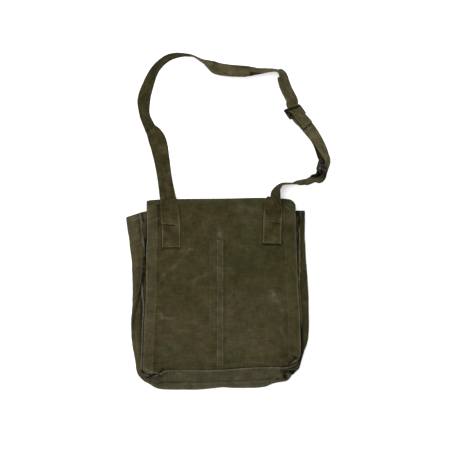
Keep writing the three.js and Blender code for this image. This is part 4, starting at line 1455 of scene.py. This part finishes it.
def build_strap(name, node, stations, creases, spots):
    length, shift, height = np.array(stations).T
    point, ahead, wide, out, roll = route.axes(length)
    backward = backward_share(length)
    length, shift, height, roll = (values[:, None] for values in (length, shift, height, roll))
    middle = point + ahead * shift + out * height
    lowest = (length > UPPER_SLIDE) & (length < LOWER_SLIDE) & (height < SMALL)
    beneath = bump(length - LOWER_SLIDE + LEAN_BACK, LEAN_REACH) * lowest * (1 - backward)
    on_top = smooth(height, LOOSE_TURN, 2 * LOOSE_TURN)
    gather = GATHER * bump(length - LOWER_SLIDE, GATHER_REACH) * on_top
    spread = ACROSS + LEAN * beneath - gather * (ACROSS - ACROSS[0])
    cup = CUP * bump(np.degrees(roll) - 90, CUP_REACH) * (1 - (ACROSS / ACROSS[-1]) ** 2)
    grid = middle[:, None] + wide[:, None] * spread[..., None] + out[:, None] * cup[..., None]

    # Creases
    flow = lengths(middle[:, None], 0)
    across = np.broadcast_to(ACROSS, spread.shape)
    ripple = strap_ripple(across, flow)
    stain = strap_stain(across, flow)
    lift = STRAP_RIPPLE * ripple
    pale = np.zeros(across.shape)
    dark = np.zeros(across.shape)
    # dark in a crease is painted shade in its valley
    for at, slant, side, width, rise, paleness, darkening in rows_of(creases, "at slant side width rise pale dark"):
        place = at + across * slant / STRAP_HALF + CREASE_STRAY * ripple
        near = bump(flow - place, width) * smooth(side * across, CREASE_SIDE, 0)
        lift += rise * near
        pale += paleness * near
        dark += darkening * near
    single = (np.abs(height) < SMALL) & (shift == 0)
    grid += cloth_normals(grid) * (lift * single)[..., None]

    # Wear, with the outer face paler by fading and by painted light
    edge = STRAP_HALF - np.abs(across)
    from_end = np.minimum(length, route.length - length)
    pale += line("strap_edge_wear", edge)
    pale += line("strap_rib_wear", edge)
    pale += STAIN * np.clip(stain, -1, 2)
    pale += line("folded_wear", length - FOLD_START) * smooth(across, *FOLD_SIDE)
    pale += line("sewn_edge_wear", edge) * smooth(EDGE_WEAR_REACH - from_end, 0, EDGE_WEAR_EASE)
    pale += line("sewn_end_wear", from_end)
    faded_and_lit = FADED_AND_LIT_FACE + FADED_AND_LIT_DOUBLE * smooth(length, DOUBLE_START, DOUBLE_FULL) * (length < LOWER_SLIDE)

    # Dirt, and painted shade and shadow: under the folded edge, by the lap, on the lower layer's edge, in the
    # upper slide's slot and in the lower slide's gaps
    on_lap = (height > 2 * LAYER - SMALL) & (length > UPPER_SLIDE) & (length < LAP_END + SMALL)
    dark += line("strap_rib_dirt", edge)
    dark += STAIN * np.clip(-stain, 0, 2)
    dark += spotted(spots, length, across, "dark")
    dark += folded_edge(length, across)
    dark += line("lap_edge_shadow", STRAP_HALF - across) * on_lap
    dark += line("lap_end_shadow", length - LAP_END) * backward
    dark += LEAN_SHADOW * beneath * smooth(across, *LEAN_SHADOW_FROM)
    dark += line("slot_shade", length - UPPER_SLIDE + SLOT_EDGE) * (1 - backward)
    dark += line("slide_shade", length - LOWER_SLIDE)
    dark += line("gather_shade", length - LOWER_SLIDE) * (1 - on_top)
    looks = {
        "pale": (np.clip(pale + faded_and_lit * backward, 0, 1), np.clip(pale + faded_and_lit * (1 - backward), 0, 1)),
        "dark": np.clip(dark, 0, DARKEST),
        "rust": np.clip(STAIN_RUST * stain + spotted(spots, length, across, "rust"), 0, 1),
    }
    rims = {"ends": [0.6, 0.9], "sides": [0.5, 0.85, 1.0]}
    piece = add_cloth(name, node, grid, STRAP_THICKNESS, looks, WEBBING, "webbing", **rims)


def long_stations():
    edge = UPPER_SLIDE - SLOT_EDGE
    bar = UPPER_SLIDE - MIDDLE_BAR / 2
    loop = LOWER_SLIDE - SLOT_EDGE
    on_bar = edge - OUTER_BAR - STEP
    rim = UPPER_SLIDE + SLIDE_DEPTH / 2 + STEP

    def rise(length):
        return (UPPER_LIFT + TURN) * smooth(length, on_bar - RISE_EASE, on_bar)

    def back(length):
        return settled(loop - length, LOOP_EASE)

    def lap(length):
        return mix(UPPER_LIFT + TURN, 2 * LAYER, smooth(length, rim, rim + LAP_EASE))

    stations = run(0, edge, rise) + dive(edge, bar) + run(bar, loop)
    stations += turn_round(loop, 0, 1, LOOSE_TURN) + run(loop, bar, back) + turn_round(bar, LAYER, -1, TURN)
    return stations + run(bar, bar + LAP_LONG, lap)


def short_stations():
    loop = LOWER_SLIDE + SLOT_EDGE

    def back(length):
        return settled(length - loop, LAP_EASE)

    stations = run(route.length, loop) + turn_round(loop, 0, -1, LOOSE_TURN)
    return stations + run(loop, loop + LAP_SHORT, back)


build_strap("shoulder_strap", "strap_long", long_stations(), LONG_CREASES, LONG_SPOTS)
build_strap("shoulder_strap_short", "strap_short", short_stations(), SHORT_CREASES, SHORT_SPOTS)

# Metal slides

SLIDE_MODIFIERS = {
    "WELD": {"merge_threshold": 0.00002},
    "DECIMATE": {"decimate_type": "DISSOLVE", "angle_limit": np.radians(1)},
    "BEVEL": {"width": 0.0007, "segments": 3, "limit_method": "ANGLE", "angle_limit": np.radians(50)},
}


def build_slide(name, node):
    """The solid's own shape with rounded edges."""
    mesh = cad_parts[node].data.copy()
    mesh.materials.clear()
    mesh.materials.append(METAL)
    piece = add_object(name, mesh)
    for kind, settings in SLIDE_MODIFIERS.items():
        modifier = piece.modifiers.new(kind.lower(), kind)
        for key, setting in settings.items():
            setattr(modifier, key, setting)
    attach(piece, "root")
    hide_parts(node)


build_slide("upper_slide", "slide_upper")
build_slide("lower_slide", "slide_lower")

# Stitches

STITCH_PITCH = 3.6
STITCH_LONG = 2.7
STITCH_RADIUS = 0.3
STITCH_SIDES = 5
# Rings of a stitch: part of its length, lift and size in radii
STITCH_RINGS = [(0.0, -0.5, 0.4), (0.2, 0.25, 1.0), (0.5, 0.45, 1.0), (0.8, 0.25, 1.0), (1.0, -0.5, 0.4)]
STITCH_INSET = 2.6
END_INSET = 3
HEM_INSET = 2.2
HEM_STITCHED = (158, -160)
STRIP_END_INSET = 2
# Lines of stitches on the centre strip: place across and height over its face
STRIP_STITCHES = [
    (STRIP_LEFT + 2, -STITCH_RADIUS),
    (STRIP_RIGHT - 1.5, STRIP_SEAM_RISE),
    (STRIP_RIGHT - STRIP_SEAM + 1.2, STRIP_SEAM_RISE),
]
LEFT_BOX = 44  # stitched length of each strap end
RIGHT_BOX = 42
LAP_BOX = 14
HEM_POINTS = 160
STRIP_POINTS = 120
BOX_POINTS = 14
BOX_END_POINTS = 12
stitch_points = []
stitch_faces = []


def add_stitch(start, finish, normal):
    """One stitch: a short bowed thread whose ends dip into the cloth."""
    side = np.cross(normal, unit(finish - start))
    first = len(stitch_points)
    angle = 2 * np.pi * np.arange(STITCH_SIDES) / STITCH_SIDES
    for part, lift, size in STITCH_RINGS:
        middle = mix(start, finish, part) + normal * lift * STITCH_RADIUS
        for a in angle:
            round_it = side * np.cos(a) + normal * np.sin(a)
            stitch_points.append(middle + round_it * STITCH_RADIUS * size)
    for ring in range(len(STITCH_RINGS) - 1):
        low = first + ring * STITCH_SIDES
        high = low + STITCH_SIDES
        for k in range(STITCH_SIDES):
            after = (k + 1) % STITCH_SIDES
            stitch_faces.append([low + k, low + after, high + after, high + k])
    end = first + (len(STITCH_RINGS) - 1) * STITCH_SIDES
    stitch_faces.append([first + k for k in reversed(range(STITCH_SIDES))])
    stitch_faces.append([end + k for k in range(STITCH_SIDES)])


def stitch_along(points, normals):
    """Stitches along a line of points on the cloth's face."""
    measured = lengths(points, 0)
    normals = np.broadcast_to(normals, points.shape)

    def at(values, place):
        return np.array([np.interp(place, measured, values[:, k]) for k in range(3)])

    for start in np.arange(0, measured[-1] - STITCH_LONG, STITCH_PITCH):
        add_stitch(at(points, start), at(points, start + STITCH_LONG), unit(at(normals, start)))


def stitch_on_panel(x, y, lift=0.0):
    """Stitches along a line given in plan, on the panel's upper face or a height above it."""
    x = np.broadcast_to(x, y.shape)
    stitch_along(np.stack([x, y, panel_top(x, y) + lift], axis=-1), UP)


def stitch_hems():
    y = np.linspace(*HEM_STITCHED, HEM_POINTS)
    stitch_on_panel(left_at(y) + HEM_LEFT - HEM_INSET, y)
    stitch_on_panel(right_at(y) - HEM_RIGHT + HEM_INSET, y)
    y = np.linspace(STRIP_TOP - STRIP_END_INSET, STRIP_BOTTOM + STRIP_END_INSET, STRIP_POINTS)
    for x, rise in STRIP_STITCHES:
        stitch_on_panel(x, y, GAP + STRIP_THICKNESS + rise)


def stitch_strap(length, across, height):
    """Stitches on the strap's outer face at lengths, places across it and a height over its lowest layer.

    A height of None means its inner face, which lies on top where the strap is sewn to the panel.
    """
    length, across = np.broadcast_arrays(np.asarray(length, float), np.asarray(across, float))
    point, _, wide, out, _ = route.axes(length)
    face = -STRAP_THICKNESS / 2 if height is None else height + STRAP_THICKNESS / 2
    stitch_along(point + wide * across[:, None] + out * face, out * np.sign(face))


def stitch_end(end, far, height):
    """Stitches along both edges of a strap's end and across it."""
    edge = STRAP_HALF - STITCH_INSET
    long = np.linspace(end, far, BOX_POINTS)
    stitch_strap(long, -edge, height)
    stitch_strap(long, edge, height)
    stitch_strap(end, np.linspace(-edge, edge, BOX_END_POINTS), height)


stitch_hems()
stitch_end(END_INSET, LEFT_BOX, None)
stitch_end(route.length - END_INSET, route.length - RIGHT_BOX, None)
stitch_end(LAP_END - END_INSET, LAP_END - LAP_BOX, 2 * LAYER)
add_piece("stitches", np.array(stitch_points), stitch_faces, THREAD)

# Floor, light and camera

FLOOR_HALF = 4.0
FLOOR_DROP = 0.0003
FLOOR_GLOW = 0.25
SKY = 0.74
KEY_PLACE = Vector((-0.5, 0.7, 2.6))
KEY_TARGET = Vector((0, 0.12, 0))
KEY_SIZE = 2.2
KEY_POWER = 74
CENTRE_X = 5.25
CENTRE_Y = 126
FRAME_WIDTH = 945
CAMERA_HEIGHT = 6000
SENSOR = 36


def build_floor():
    n = Nodes("pale_floor")
    n.fill(n.shader, {"Base Color": FLOOR_WHITE, "Roughness": 0.9, "Specular IOR Level": 0.0})
    n.fill(n.shader, {"Emission Color": WHITE, "Emission Strength": FLOOR_GLOW})
    mesh = bpy.data.meshes.new("floor")
    signs = [(-1, -1), (1, -1), (1, 1), (-1, 1)]
    mesh.from_pydata([(a * FLOOR_HALF, b * FLOOR_HALF, -FLOOR_DROP) for a, b in signs], [], [(0, 1, 2, 3)])
    mesh.materials.append(n.material)
    floor = add_object("floor", mesh)


def build_light():
    world = bpy.data.worlds.new("studio")
    bpy.context.scene.world = world
    world.use_nodes = True
    background = world.node_tree.nodes["Background"]
    background.inputs["Color"].default_value = WHITE
    background.inputs["Strength"].default_value = SKY
    light = bpy.data.lights.new("key", "AREA")
    light.shape = "DISK"
    light.size = KEY_SIZE
    light.energy = KEY_POWER
    lamp = add_object("key", light)
    lamp.location = KEY_PLACE
    lamp.rotation_euler = (KEY_TARGET - KEY_PLACE).to_track_quat("-Z", "Y").to_euler()


def build_camera():
    camera = bpy.data.cameras.new("camera")
    camera.sensor_width = SENSOR
    camera.lens = SENSOR * (CAMERA_HEIGHT - PANEL_HEIGHT) / FRAME_WIDTH
    camera.clip_end = 100
    holder = add_object("camera", camera)
    holder.location = (CENTRE_X * MM, CENTRE_Y * MM, CAMERA_HEIGHT * MM)
    bpy.context.scene.camera = holder
    bpy.context.scene.view_settings.view_transform = "Standard"


build_floor()
build_light()
build_camera()
